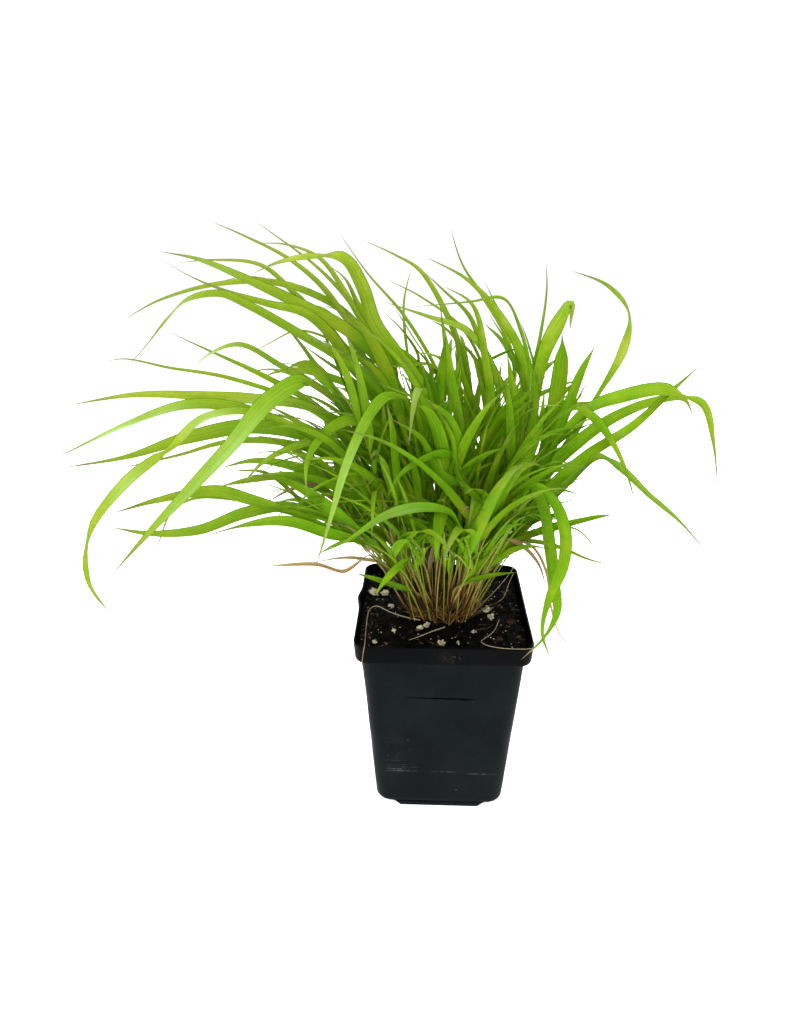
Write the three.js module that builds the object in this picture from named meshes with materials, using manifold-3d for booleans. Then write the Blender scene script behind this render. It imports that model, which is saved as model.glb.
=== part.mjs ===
// Japanese forest grass (Hakonechloa macra) in a square nursery pot.
// Millimetres, +Z up, origin on the ground under the middle of the pot, front towards -Y.
import * as THREE from 'three';
import { mergeVertices } from 'three/addons/utils/BufferGeometryUtils.js';
import Module from 'manifold-3d';

const wasm = await Module();
wasm.setup();

// ---------------------------------------------------------------- driving dimensions
const POT = {
  height: 124, rimWidth: 100, rimHeight: 11.5, rimDraft: 1.4, rimCorner: 8, rimInside: 6,
  wallTop: 92.5, footWidth: 77.4, wallCorner: 8.5, wallInside: 6.5,
  footCut: 14.5, heelHeight: 3.6, heelCorner: 9.5, thickness: 1.3, floor: 2.4,
  slit: { x: -0.8, z: 86.6, length: 40, height: 1.1, depth: 12, tiltDeg: -1 },
  drain: { fromCentre: 41, z: 4.2, radius: 4, length: 16, tiltDeg: 38 },
  buckle: { y: 6, reach: 7, bulge: 2 },
};
const SOIL = {
  level: 117.6, mound: 3.2, moundReach: 27, roughness: 0.7,
  cells: 10, gap: 0.35, holeRadius: 1.8, holeDepth: 8.5, seed: 11,
};
const CROWN = { x: 2, y: 0, radius: 30, spacing: 4.5, reach: 80 };
const CULM = {
  radius: 0.85, tipRadius: 0.6, shootRadius: 0.7, steps: 4, upright: 3.4, sunk: 7.6,
  rise: 0.3, lift: 0.07, ease: 0.24, leafAt: 0.95,
};
const BLADE = {
  keel: 0.85, rise: 0.12, footHalf: 0.3, widest: 0.28, tipPower: 1.7, narrow: 3, broad: 11,
  step: 58, turnPerStep: 0.66, fewest: 4, most: 9,
};
const CLEAR = 0.36;
const SHIFTS = [0, 6, -6, 12, -12, 18, -18, 25, -25, 33, -33, 42, -42, 54, -54, 68, -68];

// The layout sheet: leaves are drawn as they look from the front, from an eye a little above
// the tuft, on a sheet 800 wide and 1024 high. u runs right and v runs down.
const SHEET = {
  eye: new THREE.Vector3(-11.9, -389.5, 352.6), aim: new THREE.Vector3(-25.5, 0, 183.1),
  focal: 739.6, middle: [400, 512],
};

const LOOK = {
  pot: { color: 0x22282b, roughness: 0.55, metalness: 0 },
  soil: { color: 0x1f1712, roughness: 1, metalness: 0 },
  stem: { color: 0x7aa51e, roughness: 0.6, metalness: 0 },
  dryStem: { color: 0xa08a4c, roughness: 0.8, metalness: 0 },
  straw: { color: 0x9a8558, roughness: 0.8, metalness: 0 },
};

// ---------------------------------------------------------------- the leafy stems
// depth: where the stem ends, front (-) to back (+). A leaf has its seen width on the sheet, the
// depth of its tip, and its middle line as u,v pairs from the tip in to where it leaves the stem.
// fullest: for leaves that are widest further out than BLADE.widest, the part of their length.
const STEMS = [
  { depth: 45, leaves: [
    [7, 70, 208, 220, 240, 234, 287, 258, 320, 285, 340, 311, 358, 334, 377, 360],
    [8, 62, 327, 264, 345, 279, 357, 304, 374, 330, 394, 362],
    [7, 28, 278, 318, 298, 341, 318, 369, 338, 396, 358, 426]] },
  { depth: -8, fullest: [0.38], leaves: [
    [13, -26, 252, 274, 280, 262, 320, 256, 344, 259, 361, 286, 374, 324, 395, 352, 418, 380],
    [3, 10, 393, 305, 410, 333, 432, 374]] },
  { depth: 18, fullest: [0.45], leaves: [
    [12, 2, 158, 251, 200, 260, 256, 284, 305, 308, 345, 330, 368, 350, 396, 386],
    [6, 44, 252, 219, 280, 239, 315, 266, 345, 297, 366, 328, 386, 356],
    [5, 12, 300, 343, 325, 361, 352, 380, 376, 402]] },
  { depth: -16, leaves: [
    [8, -46, 119, 376, 145, 347, 168, 318, 187, 300, 220, 294, 245, 304, 295, 332, 350, 366, 384, 400],
    [6, 12, 247, 243, 288, 245, 320, 259, 343, 290, 360, 320, 382, 350]] },
  { depth: 58, fullest: [0.42], leaves: [
    [7, 76, 123, 320, 160, 300, 220, 284, 280, 284, 333, 305, 356, 324, 378, 350],
    [6, 92, 176, 263, 215, 260, 262, 266, 297, 297, 326, 324, 350, 352],
    [6, 42, 161, 328, 205, 349, 255, 372, 302, 397, 340, 420]] },
  { depth: 8, leaves: [
    [12, -12, 155, 256, 200, 281, 263, 303, 305, 314, 330, 336, 352, 368, 378, 400],
    [3, 4, 240, 361, 270, 343, 300, 331, 342, 347, 366, 370]] },
  { depth: 32, leaves: [
    [7, 14, 191, 369, 210, 354, 240, 345, 280, 366, 324, 392, 352, 416],
    [6, 62, 238, 374, 275, 370, 318, 388, 344, 408], [3, 60, 213, 283, 250, 277, 285, 287, 308, 306]] },
  { depth: 4, fullest: [0.42], leaves: [
    [11, -6, 64, 406, 136, 395, 208, 397, 255, 400, 305, 407, 340, 424],
    [5, 36, 98, 363, 125, 359, 169, 368, 223, 377, 292, 399, 326, 416]] },
  { depth: -20, fullest: [0.5], leaves: [
    [11, -46, 52, 460, 128, 424, 184, 406, 230, 407, 285, 424, 326, 448],
    [6, -20, 268, 408, 300, 425, 338, 446]] },
  { depth: -32, fullest: [0.56], leaves: [
    [11, -76, 112, 616, 89, 582, 90, 533, 126, 484, 174, 446, 203, 419, 245, 412, 300, 430, 334, 452],
    [5, -8, 262, 432, 285, 446, 320, 462, 346, 482]] },
  { depth: -4, fullest: [0.45], leaves: [
    [16, -24, 62, 468, 128, 457, 192, 438, 255, 428, 310, 440, 344, 460],
    [8, 16, 108, 471, 176, 456, 231, 442, 287, 444, 336, 461]] },
  { depth: -44, leaves: [
    [18, -96, 110, 577, 149, 533, 192, 488, 233, 444, 268, 403, 300, 384],
    [4, -30, 238, 455, 280, 452, 320, 462, 352, 486]] },
  { depth: -36, fullest: [0.5], leaves: [
    [12, -62, 110, 514, 160, 500, 215, 492, 247, 500, 290, 513, 335, 530],
    [3, -18, 208, 485, 239, 493, 279, 508, 330, 523]] },
  { depth: -12, fullest: [0.45], leaves: [
    [14, -22, 109, 527, 152, 534, 200, 531, 247, 514, 290, 508, 335, 521],
    [3, 12, 143, 577, 158, 545, 172, 512, 195, 499, 250, 503]] },
  { depth: -52, leaves: [
    [12, -72, 198, 538, 247, 525, 287, 522, 330, 535, 362, 542],
    [4, -66, 315, 556, 335, 545, 352, 541, 375, 548]] },
  { depth: 22, leaves: [
    [10, 26, 217, 487, 247, 481, 290, 478, 332, 493], [12, 46, 217, 469, 255, 461, 303, 470, 338, 486]] },
  { depth: 0, leaves: [
    [5, 2, 219, 472, 265, 473, 303, 503, 334, 523], [9, -34, 238, 490, 264, 462, 303, 444, 340, 434]] },
  { depth: -28, leaves: [
    [12, -62, 306, 495, 308, 460, 330, 430, 356, 421, 380, 434], [3, -8, 310, 491, 345, 499, 374, 509]] },
  { depth: -56, fullest: [0.4], leaves: [
    [13, -116, 315, 570, 332, 515, 348, 464, 371, 415, 386, 398, 406, 396],
    [8, -60, 377, 383, 419, 400, 449, 418, 459, 452]] },
  { depth: -66, leaves: [[11, -84, 303, 560, 345, 542, 387, 516, 423, 508, 450, 513, 464, 538]] },
  { depth: -44, leaves: [[8, -58, 375, 595, 384, 583, 395, 571, 408, 559]] },
  { depth: -30, leaves: [[6, -34, 355, 573, 380, 581, 415, 593]] },
  { depth: -14, dry: true, leaves: [
    [5, -32, 266, 566, 287, 565, 317, 565, 345, 572, 363, 558], [3, 2, 303, 564, 350, 558, 385, 561]] },
  { depth: 62, leaves: [
    [5, 96, 358, 238, 395, 255, 420, 271, 447, 316, 460, 352, 468, 394],
    [4, 70, 430, 320, 443, 327, 462, 350]] },
  { depth: 24, leaves: [
    [9, 34, 424, 256, 467, 280, 498, 315, 524, 364, 532, 410], [4, 48, 483, 278, 497, 308, 514, 345]] },
  { depth: 72, leaves: [
    [4, 112, 449, 223, 462, 264, 482, 296, 508, 343, 516, 390],
    [5, 88, 423, 271, 445, 292, 468, 315, 482, 346]] },
  { depth: -12, leaves: [
    [5, -38, 412, 307, 470, 302, 503, 299, 519, 328, 528, 365], [11, -10, 507, 352, 513, 400, 508, 452]] },
  { depth: 14, leaves: [
    [7, -8, 382, 301, 432, 318, 465, 330, 490, 364, 500, 405], [3, 40, 384, 278, 422, 298, 466, 334]] },
  { depth: 50, leaves: [
    [3, 66, 412, 264, 404, 305, 409, 362], [3, 42, 383, 311, 404, 333, 418, 358],
    [4, 30, 409, 341, 427, 362, 440, 384]] },
  { depth: 0, leaves: [
    [9, 14, 442, 285, 472, 305, 484, 355, 490, 398, 490, 440], [3, -18, 405, 354, 432, 355, 450, 370]] },
  { depth: -22, leaves: [
    [10, -12, 440, 305, 446, 350, 453, 394, 462, 436], [10, -30, 455, 398, 466, 440, 476, 488]] },
  { depth: 36, leaves: [
    [7, 30, 445, 328, 473, 357, 488, 392, 494, 430], [3, 12, 375, 363, 400, 367, 432, 366],
    [7, 44, 446, 310, 456, 340, 462, 376]] },
  { depth: 54, leaves: [
    [5, 56, 484, 323, 503, 343, 518, 368], [3, 70, 487, 311, 502, 335, 516, 362],
    [3, 78, 520, 320, 529, 345, 534, 372]] },
  { depth: 26, leaves: [
    [4, 48, 336, 228, 367, 273, 403, 315, 434, 366], [4, 24, 296, 302, 325, 310, 354, 340]] },
  { depth: -10, fullest: [0.42], leaves: [
    [13, -42, 719, 502, 713, 441, 703, 405, 685, 397, 662, 390, 620, 398, 592, 408, 560, 440, 536, 474]] },
  { depth: 16, leaves: [
    [13, 22, 694, 418, 683, 399, 648, 404, 602, 426, 560, 460, 532, 494],
    [3, 30, 593, 370, 581, 394, 566, 420]] },
  { depth: -30, leaves: [
    [12, -22, 706, 360, 673, 390, 633, 427, 587, 457, 548, 492, 522, 524],
    [12, -34, 545, 385, 540, 430, 522, 482]] },
  { depth: 2, leaves: [
    [11, -16, 714, 561, 680, 522, 648, 495, 618, 467, 598, 457, 572, 478, 546, 506, 520, 540],
    [10, 20, 520, 372, 522, 420, 512, 470]] },
  { depth: -22, fullest: [0.5], leaves: [
    [10, -52, 636, 505, 624, 466, 607, 435, 592, 418, 577, 408, 561, 419, 546, 432],
    [8, -26, 425, 418, 438, 455, 448, 500]] },
  { depth: -38, fullest: [0.42], leaves: [
    [14, -62, 521, 660, 545, 636, 556, 612, 553, 584, 548, 545, 540, 502, 522, 480, 490, 511]] },
  { depth: -54, fullest: [0.45], leaves: [
    [12, -100, 551, 660, 542, 633, 548, 600, 562, 566, 564, 532, 553, 502, 536, 486, 516, 500],
    [8, -40, 437, 408, 451, 436, 460, 482]] },
  { depth: -16, leaves: [
    [7, -26, 616, 514, 595, 518, 537, 533, 510, 541], [5, 6, 615, 566, 587, 559, 560, 548, 532, 542],
    [4, 22, 599, 561, 587, 538, 570, 528, 540, 533]] },
  { depth: -24, dry: true, leaves: [
    [5, -40, 547, 590, 538, 564, 521, 546, 504, 538],
    [3, -30, 581, 648, 562, 638, 551, 609, 545, 570, 530, 546]] },
  { depth: 46, fullest: [0.5], leaves: [
    [7, 62, 570, 270, 608, 286, 629, 314, 621, 352, 594, 400, 560, 457, 540, 494],
    [6, 50, 462, 395, 478, 415, 486, 462]] },
  { depth: 40, fullest: [0.6], leaves: [
    [14, 30, 570, 330, 571, 304, 556, 330, 544, 358, 532, 420, 522, 470],
    [5, 66, 546, 259, 547, 290, 541, 335, 532, 376, 526, 410]] },
  { depth: 26, fullest: [0.55], leaves: [
    [16, 22, 562, 333, 563, 360, 553, 420, 536, 480], [10, 10, 530, 355, 535, 400, 526, 452]] },
  { depth: 0, fullest: [0.45], leaves: [
    [12, -8, 595, 346, 583, 370, 572, 400, 550, 456, 534, 496], [10, 26, 470, 345, 482, 390, 493, 442]] },
  { depth: -48, leaves: [
    [8, -70, 385, 501, 398, 478, 416, 464, 446, 454, 462, 474], [5, -62, 416, 544, 433, 531, 452, 538],
    [9, -54, 390, 418, 420, 438, 440, 474]] },
  { depth: -36, leaves: [[5, -30, 520, 572, 490, 576, 468, 582]] },
];
// Stems that the front view hides: heading (degrees from +X) and height where the stem ends.
const HIDDEN_STEMS = [
  { heading: 66, reach: 62, top: 262 }, { heading: 90, reach: 74, top: 246 },
  { heading: 117, reach: 66, top: 264 }, { heading: 146, reach: 70, top: 236 },
  { heading: 40, reach: 60, top: 244 },
];
const HIDDEN_LEAF_OUT = 20;
// Side shoots and extra leaves that every stem may carry, drawn from its own random stream.
const SHOOT = {
  turns: [22, -22, 34, -34, 48, -48, 64, -64, 84, -84], shortest: 0.55, longest: 0.85,
  leafOut: 10, leavesAt: [0.95, 0.75, 0.55],
};
const EXTRA = {
  perStem: 3, perHiddenStem: 5, turns: [22, -22, 38, -38, 56, -56, 12, -12, 80, -80],
  lowest: 0.4, highest: 0.9, shortest: 66, longest: 132, slim: 3.6, wide: 8.4, roll: 50,
  lift: 0.06, droop: 34, leastDroop: 0.5, mostDroop: 1.3, points: 5, seed: 100,
};
// Where extra leaves may show on the sheet: the thick of the tuft.
const THICKET = [
  [290, 322], [330, 296], [382, 336], [424, 352], [462, 320], [500, 332], [532, 348], [560, 334],
  [590, 368], [612, 410], [604, 470], [584, 522], [556, 556], [500, 566], [440, 568], [385, 562],
  [346, 548], [300, 532], [250, 520], [236, 470], [232, 430], [250, 380],
];
// Dry straws of last year. Each point is u, v on the sheet and its height in mm.
const STRAW_RADIUS = 0.5;
const STRAWS = {
  straw_over_rim: [
    [[420, 620, 121.6], [405, 617, 121.2], [390, 612, 121.6], [377, 606, 122.6],
      [370, 609, 124], [367, 620, 125.4], [365.5, 636, 126.2], [364.5, 645.5, 125.9], [363.3, 652, 123.4],
      [362, 664, 116.2], [361.5, 674, 110]]],
  straw_pair: [
    [[471, 616, 121.6], [475, 610, 124], [488, 598, 132], [510, 573, 149], [517, 560, 157]],
    [[471, 616, 121.6], [487, 607, 124.5], [502, 599, 128], [509, 583, 140], [513.5, 573, 147]]],
  straw_on_soil: [
    [[445, 627, 121.4], [433, 631, 121.2], [418, 637, 121], [409, 640, 121]]],
  straw_by_rim: [
    [[499, 620, 121.6], [494, 631, 122.4], [484, 639, 124], [481, 641.5, 124.8], [486, 645, 125.4],
      [497, 647.5, 125.6], [516, 649, 125.4], [531, 648.5, 125.4], [538, 646, 126]]],
};
// Perlite grains and bark chips in the soil: u, v on the sheet, then radius in mm.
const GRAINS = [
  [375, 592, 3.1], [385, 593, 2.5], [391, 606, 1.9], [420, 629, 1.6], [427, 627, 2], [394, 630, 1.3],
  [375, 641, 1.4], [487, 611, 2.7], [491, 618, 2.2], [441, 643, 2.3], [474, 632, 1.3], [458, 643, 1.2],
  [511, 622, 2.4], [500, 638, 2],
];

// ---------------------------------------------------------------- solids and numbers
const UP = new THREE.Vector3(0, 0, 1);
const radians = THREE.MathUtils.degToRad;

function randomStream(seed) {
  let state = seed >>> 0;
  return () => {
    state = (state + 0x6d2b79f5) >>> 0;
    let t = state;
    t = Math.imul(t ^ (t >>> 15), t | 1);
    t ^= t + Math.imul(t ^ (t >>> 7), t | 61);
    return ((t ^ (t >>> 14)) >>> 0) / 4294967296;
  };
}

function solidOf(geometry) {
  const shape = geometry.clone();
  shape.deleteAttribute('normal');
  shape.deleteAttribute('uv');
  const merged = mergeVertices(shape);
  return new wasm.Manifold(new wasm.Mesh({
    numProp: 3,
    vertProperties: Float32Array.from(merged.attributes.position.array),
    triVerts: Uint32Array.from(merged.index.array),
  }));
}

function meshOf(name, solid, look) {
  const { numProp, vertProperties, triVerts } = solid.getMesh();
  const points = new Float32Array((vertProperties.length / numProp) * 3);
  for (let i = 0; i * numProp < vertProperties.length; i += 1) {
    points.set(vertProperties.subarray(i * numProp, i * numProp + 3), i * 3);
  }
  const geometry = new THREE.BufferGeometry();
  geometry.setAttribute('position', new THREE.BufferAttribute(points, 3));
  geometry.setIndex(new THREE.BufferAttribute(Uint32Array.from(triVerts), 1));
  geometry.computeVertexNormals();
  const mesh = new THREE.Mesh(geometry, new THREE.MeshStandardMaterial(look));
  mesh.name = name;
  return mesh;
}

// A closed skin over rings of equally many points that run anticlockwise seen from the far end.
// A last ring of one point closes the skin to a tip.
function skinOver(rings) {
  const points = rings.flat();
  const size = rings[0].length;
  const faces = [];
  const fan = (first, flip) => {
    for (let i = 1; i < size - 1; i += 1) {
      faces.push(...(flip ? [first, first + i + 1, first + i] : [first, first + i, first + i + 1]));
    }
  };
  fan(0, true);
  for (let ring = 0; ring < rings.length - 1; ring += 1) {
    const low = ring * size;
    const high = low + size;
    for (let i = 0; i < size; i += 1) {
      const next = (i + 1) % size;
      if (rings[ring + 1].length === 1) {
        faces.push(low + i, low + next, high);
      } else {
        faces.push(low + i, low + next, high + next, low + i, high + next, high + i);
      }
    }
  }
  if (rings.at(-1).length > 1) fan((rings.length - 1) * size, false);
  const geometry = new THREE.BufferGeometry().setFromPoints(points);
  geometry.setIndex(faces);
  return geometry;
}

// ---------------------------------------------------------------- pot
// A square ring whose corners are round, or cut straight across for the foot. The rim's sides
// carry points too, so that its left side can buckle.
function squareRing(width, corner, z, { cutStraight = false, sideSteps = 1 } = {}) {
  const inner = width / 2 - corner;
  const cornerSteps = 3;
  const side = [];
  for (let i = 0; i <= cornerSteps; i += 1) {
    const part = i / cornerSteps;
    const turn = radians(90 * part);
    const across = cutStraight ? 1 - part : Math.cos(turn);
    const along = cutStraight ? part : Math.sin(turn);
    side.push(new THREE.Vector3(inner + corner * across, inner + corner * along, z));
  }
  for (let i = 1; i < sideSteps; i += 1) {
    side.push(new THREE.Vector3(inner - (2 * inner * i) / sideSteps, width / 2, z));
  }
  const turned = (degrees) => side.map((point) => point.clone().applyAxisAngle(UP, radians(degrees)));
  return [0, 90, 180, 270].flatMap(turned);
}

function rimRing(width, corner, z) {
  const { y, reach, bulge } = POT.buckle;
  const ring = squareRing(width, corner, z, { sideSteps: 7 });
  ring.forEach((point) => {
    if (point.x < -POT.wallTop / 2) point.x -= bulge * Math.exp(-(((point.y - y) / reach) ** 2));
  });
  return ring;
}

function wallWidthAt(z) {
  return POT.footWidth + ((POT.wallTop - POT.footWidth) * z) / (POT.height - POT.rimHeight);
}

function makePot() {
  const { height, rimWidth, rimHeight, rimDraft, rimCorner, wallCorner, heelHeight, thickness, floor } = POT;
  const rimFoot = height - rimHeight;
  const outside = solidOf(skinOver([
    squareRing(POT.footWidth, POT.footCut, 0, { cutStraight: true }),
    squareRing(wallWidthAt(heelHeight) - thickness, POT.heelCorner, heelHeight),
    squareRing(wallWidthAt(2 * heelHeight), wallCorner, 2 * heelHeight),
    squareRing(wallWidthAt(rimFoot), wallCorner, rimFoot),
  ])).add(solidOf(skinOver([
    rimRing(rimWidth - rimDraft, rimCorner, rimFoot - 0.01),
    rimRing(rimWidth, rimCorner, height),
  ])));
  const inwards = 2 * thickness;
  const inside = solidOf(skinOver([
    squareRing(POT.footWidth - inwards, POT.footCut, floor, { cutStraight: true }),
    squareRing(wallWidthAt(2 * heelHeight) - inwards, wallCorner - thickness, 2 * heelHeight + floor),
    squareRing(wallWidthAt(rimFoot) - inwards, wallCorner - thickness, rimFoot + thickness + 0.01),
  ])).add(solidOf(skinOver([
    rimRing(rimWidth - rimDraft - inwards, rimCorner - thickness, rimFoot + thickness),
    rimRing(rimWidth - inwards, rimCorner - thickness, height + 1),
  ])));
  const slit = new THREE.BoxGeometry(POT.slit.length, POT.slit.depth, POT.slit.height);
  slit.rotateY(radians(-POT.slit.tiltDeg));
  slit.translate(POT.slit.x, -wallWidthAt(POT.slit.z) / 2, POT.slit.z);
  let pot = outside.subtract(inside).subtract(solidOf(slit));
  for (let corner = 0; corner < 4; corner += 1) {
    const hole = new THREE.CylinderGeometry(POT.drain.radius, POT.drain.radius, POT.drain.length, 8);
    hole.rotateZ(radians(90));
    hole.rotateY(radians(POT.drain.tiltDeg));
    hole.translate(POT.drain.fromCentre, 0, POT.drain.z);
    hole.rotateZ(radians(45 + 90 * corner));
    pot = pot.subtract(solidOf(hole));
  }
  return pot;
}

// ---------------------------------------------------------------- soil
function soilHeight(x, y, noise) {
  const far = ((x - CROWN.x) ** 2 + (y - CROWN.y) ** 2) / SOIL.moundReach ** 2;
  return SOIL.level + SOIL.mound * Math.exp(-far) + SOIL.roughness * (noise - 0.5) * 2;
}

function makeSoil(roots) {
  const gap = 2 * (POT.thickness + SOIL.gap);
  const rimFoot = POT.height - POT.rimHeight;
  const bottom = POT.floor + SOIL.gap;
  const inRim = POT.rimWidth - POT.rimDraft - gap - SOIL.gap;
  const filling = solidOf(skinOver([
    squareRing(POT.footWidth - gap, POT.footCut, bottom, { cutStraight: true }),
    squareRing(wallWidthAt(2 * POT.heelHeight) - gap, POT.wallInside, 2 * POT.heelHeight + bottom),
    squareRing(wallWidthAt(rimFoot) - gap, POT.wallInside, rimFoot + POT.floor),
  ])).add(solidOf(skinOver([
    squareRing(inRim, POT.rimInside, rimFoot + POT.thickness + SOIL.gap),
    squareRing(inRim, POT.rimInside, POT.height),
  ])));
  const random = randomStream(SOIL.seed);
  const wide = POT.rimWidth + 4;
  const ground = new THREE.BoxGeometry(wide, wide, 2 * POT.height, SOIL.cells, SOIL.cells, 1);
  const heights = new Map();
  const at = ground.attributes.position;
  for (let i = 0; i < at.count; i += 1) {
    const [x, y] = [at.getX(i), at.getY(i)];
    const key = `${x.toFixed(2)},${y.toFixed(2)}`;
    if (at.getZ(i) > 0) {
      if (!heights.has(key)) heights.set(key, soilHeight(x, y, random()));
      at.setZ(i, heights.get(key));
    }
  }
  let soil = filling.intersect(solidOf(ground));
  GRAINS.forEach(([u, v, radius], i) => {
    const grain = new THREE.IcosahedronGeometry(radius, 0);
    grain.scale(1, 0.85, 0.75);
    grain.rotateZ(i);
    const place = onSheetAtHeight(u, v, SOIL.level + 1);
    grain.translate(place.x, place.y, soilHeight(place.x, place.y, 0.5));
    soil = soil.add(solidOf(grain));
  });
  roots.forEach((root) => {
    const hole = new THREE.CylinderGeometry(SOIL.holeRadius, SOIL.holeRadius, 2 * SOIL.holeDepth, 4);
    hole.rotateX(radians(90));
    hole.translate(root.x, root.y, SOIL.level + SOIL.mound);
    soil = soil.subtract(solidOf(hole));
  });
  return soil;
}

// ---------------------------------------------------------------- the sheet
const toAim = SHEET.aim.clone().sub(SHEET.eye).normalize();
const toRight = toAim.clone().cross(UP).normalize();
const toTop = toRight.clone().cross(toAim);

function sightLine(u, v) {
  return toAim.clone()
    .addScaledVector(toRight, (u - SHEET.middle[0]) / SHEET.focal)
    .addScaledVector(toTop, (SHEET.middle[1] - v) / SHEET.focal);
}

function onSheetAtDepth(u, v, depth) {
  const line = sightLine(u, v);
  return SHEET.eye.clone().addScaledVector(line, (depth - SHEET.eye.y) / line.y);
}

function onSheetAtHeight(u, v, height) {
  const line = sightLine(u, v);
  return SHEET.eye.clone().addScaledVector(line, (height - SHEET.eye.z) / line.z);
}

function toSheet(point) {
  const line = point.clone().sub(SHEET.eye);
  const away = line.dot(toAim);
  return [SHEET.middle[0] + (SHEET.focal * line.dot(toRight)) / away,
    SHEET.middle[1] - (SHEET.focal * line.dot(toTop)) / away];
}

function inThicket(point) {
  const [u, v] = toSheet(point);
  let inside = false;
  THICKET.forEach(([u1, v1], i) => {
    const [u2, v2] = THICKET.at(i - 1);
    if ((v1 > v) !== (v2 > v) && u < ((u2 - u1) * (v - v1)) / (v2 - v1) + u1) inside = !inside;
  });
  return inside;
}

// ---------------------------------------------------------------- blades and culms
function directionsAlong(points) {
  return points.map((point, i) => {
    const before = points[Math.max(i - 1, 0)];
    const after = points[Math.min(i + 1, points.length - 1)];
    return after.clone().sub(before).normalize();
  });
}

// The blade's sideways and upward directions at each point. A leaf drawn on the sheet is turned
// until it shows its seen width there; any other leaf lies level and is rolled by its own angle.
function bladeFrames(points, leaf) {
  const along = directionsAlong(points);
  const frames = [1, -1].map((sign) => along.map((ahead, i) => {
    const across = leaf.seenPart
      ? ahead.clone().cross(points[i].clone().sub(SHEET.eye)).normalize()
      : UP.clone().cross(ahead).normalize();
    const back = ahead.clone().cross(across);
    const cosine = leaf.seenPart ?? Math.cos(leaf.roll);
    const sine = leaf.seenPart ? sign * Math.sqrt(1 - cosine * cosine) : sign * Math.sin(leaf.roll);
    const side = across.multiplyScalar(cosine).addScaledVector(back, sine);
    return { side, up: ahead.clone().cross(side) };
  }));
  const lift = (list) => list.reduce((sum, frame) => sum + frame.up.z, 0);
  return lift(frames[0]) >= lift(frames[1]) ? frames[0] : frames[1];
}

function bladeHalf(leaf, s) {
  const half = leaf.width / 2;
  const widest = leaf.fullest ?? BLADE.widest;
  if (s < widest) {
    const rise = s / widest;
    return BLADE.footHalf + (half - BLADE.footHalf) * rise * (2 - rise);
  }
  return half * (1 - ((s - widest) / (1 - widest)) ** BLADE.tipPower);
}

function bladeRings(points, leaf, spare = 0) {
  const frames = bladeFrames(points, leaf);
  const last = points.length - 1;
  return points.map((point, i) => {
    const { side, up } = frames[i];
    if (i === last) return [point.clone().addScaledVector(side.clone().cross(up), spare)];
    const half = bladeHalf(leaf, i / last) + spare;
    const rise = BLADE.rise * half + spare;
    const keel = Math.min(BLADE.keel, bladeHalf(leaf, i / last)) + spare;
    return [
      point.clone().addScaledVector(side, half).addScaledVector(up, rise),
      point.clone().addScaledVector(side, -half).addScaledVector(up, rise),
      point.clone().addScaledVector(up, -keel),
    ];
  });
}

function tubeRings(points, radii, spare = 0) {
  return points.map((point, i) => {
    const ahead = directionsAlong(points)[i];
    const side = ahead.clone().cross(new THREE.Vector3(0.3, 1, 0.1)).normalize();
    const up = ahead.clone().cross(side);
    return [0, 120, 240].map((degrees) => point.clone()
      .addScaledVector(side, (radii[i] + spare) * Math.cos(radians(degrees)))
      .addScaledVector(up, (radii[i] + spare) * Math.sin(radians(degrees))));
  });
}

function bladeSteps(guide) {
  let length = 0;
  let turning = 0;
  for (let i = 1; i < guide.length; i += 1) {
    length += guide[i].distanceTo(guide[i - 1]);
    if (i > 1) {
      const before = guide[i - 1].clone().sub(guide[i - 2]);
      turning += guide[i].clone().sub(guide[i - 1]).angleTo(before);
    }
  }
  const steps = Math.round(1.3 + length / BLADE.step + turning / BLADE.turnPerStep);
  return THREE.MathUtils.clamp(steps, BLADE.fewest, BLADE.most);
}

function curvePoints(guide, steps) {
  const curve = new THREE.CatmullRomCurve3(guide, false, 'centripetal');
  return evenParts(steps).map((s) => curve.getPoint(s));
}

// The culm stands upright in its hole, then leans out to where its end leaf begins.
function culmPath(root, end, leafStart) {
  const foot = new THREE.Vector3(root.x, root.y, SOIL.level + SOIL.mound + CULM.upright);
  const length = foot.distanceTo(end);
  const rising = foot.clone().lerp(end, CULM.rise).addScaledVector(UP, length * CULM.lift);
  const backwards = end.clone().sub(leafStart).normalize();
  const arriving = end.clone().addScaledVector(backwards, length * CULM.ease);
  return new THREE.CubicBezierCurve3(foot, rising, arriving, end);
}

function evenParts(steps) {
  return Array.from({ length: steps + 1 }, (_, i) => i / steps);
}

function culmRings(path, spare) {
  const below = path.v0.clone().setZ(SOIL.level + SOIL.mound - CULM.sunk);
  const parts = evenParts(CULM.steps);
  const points = [below, ...parts.map((s) => path.getPoint(s))];
  const radii = [CULM.radius, ...parts.map((s) => THREE.MathUtils.lerp(CULM.radius, CULM.tipRadius, s))];
  return tubeRings(points, radii, spare);
}

// The middle of the faceted culm: straight between its rings.
function culmPoint(path, t) {
  const step = Math.floor(t * CULM.steps);
  const next = path.getPoint((step + 1) / CULM.steps);
  return path.getPoint(step / CULM.steps).lerp(next, t * CULM.steps - step);
}

function shootRings(path, spare) {
  const points = evenParts(CULM.steps).map((s) => path.getPoint(s));
  const radii = points.map((_, i) => (i === 0 ? BLADE.footHalf : CULM.shootRadius));
  return tubeRings(points, radii, spare);
}

function strawRings(marks) {
  const points = marks.map(([u, v, height]) => onSheetAtHeight(u, v, height));
  return tubeRings(points, points.map(() => STRAW_RADIUS));
}

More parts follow.
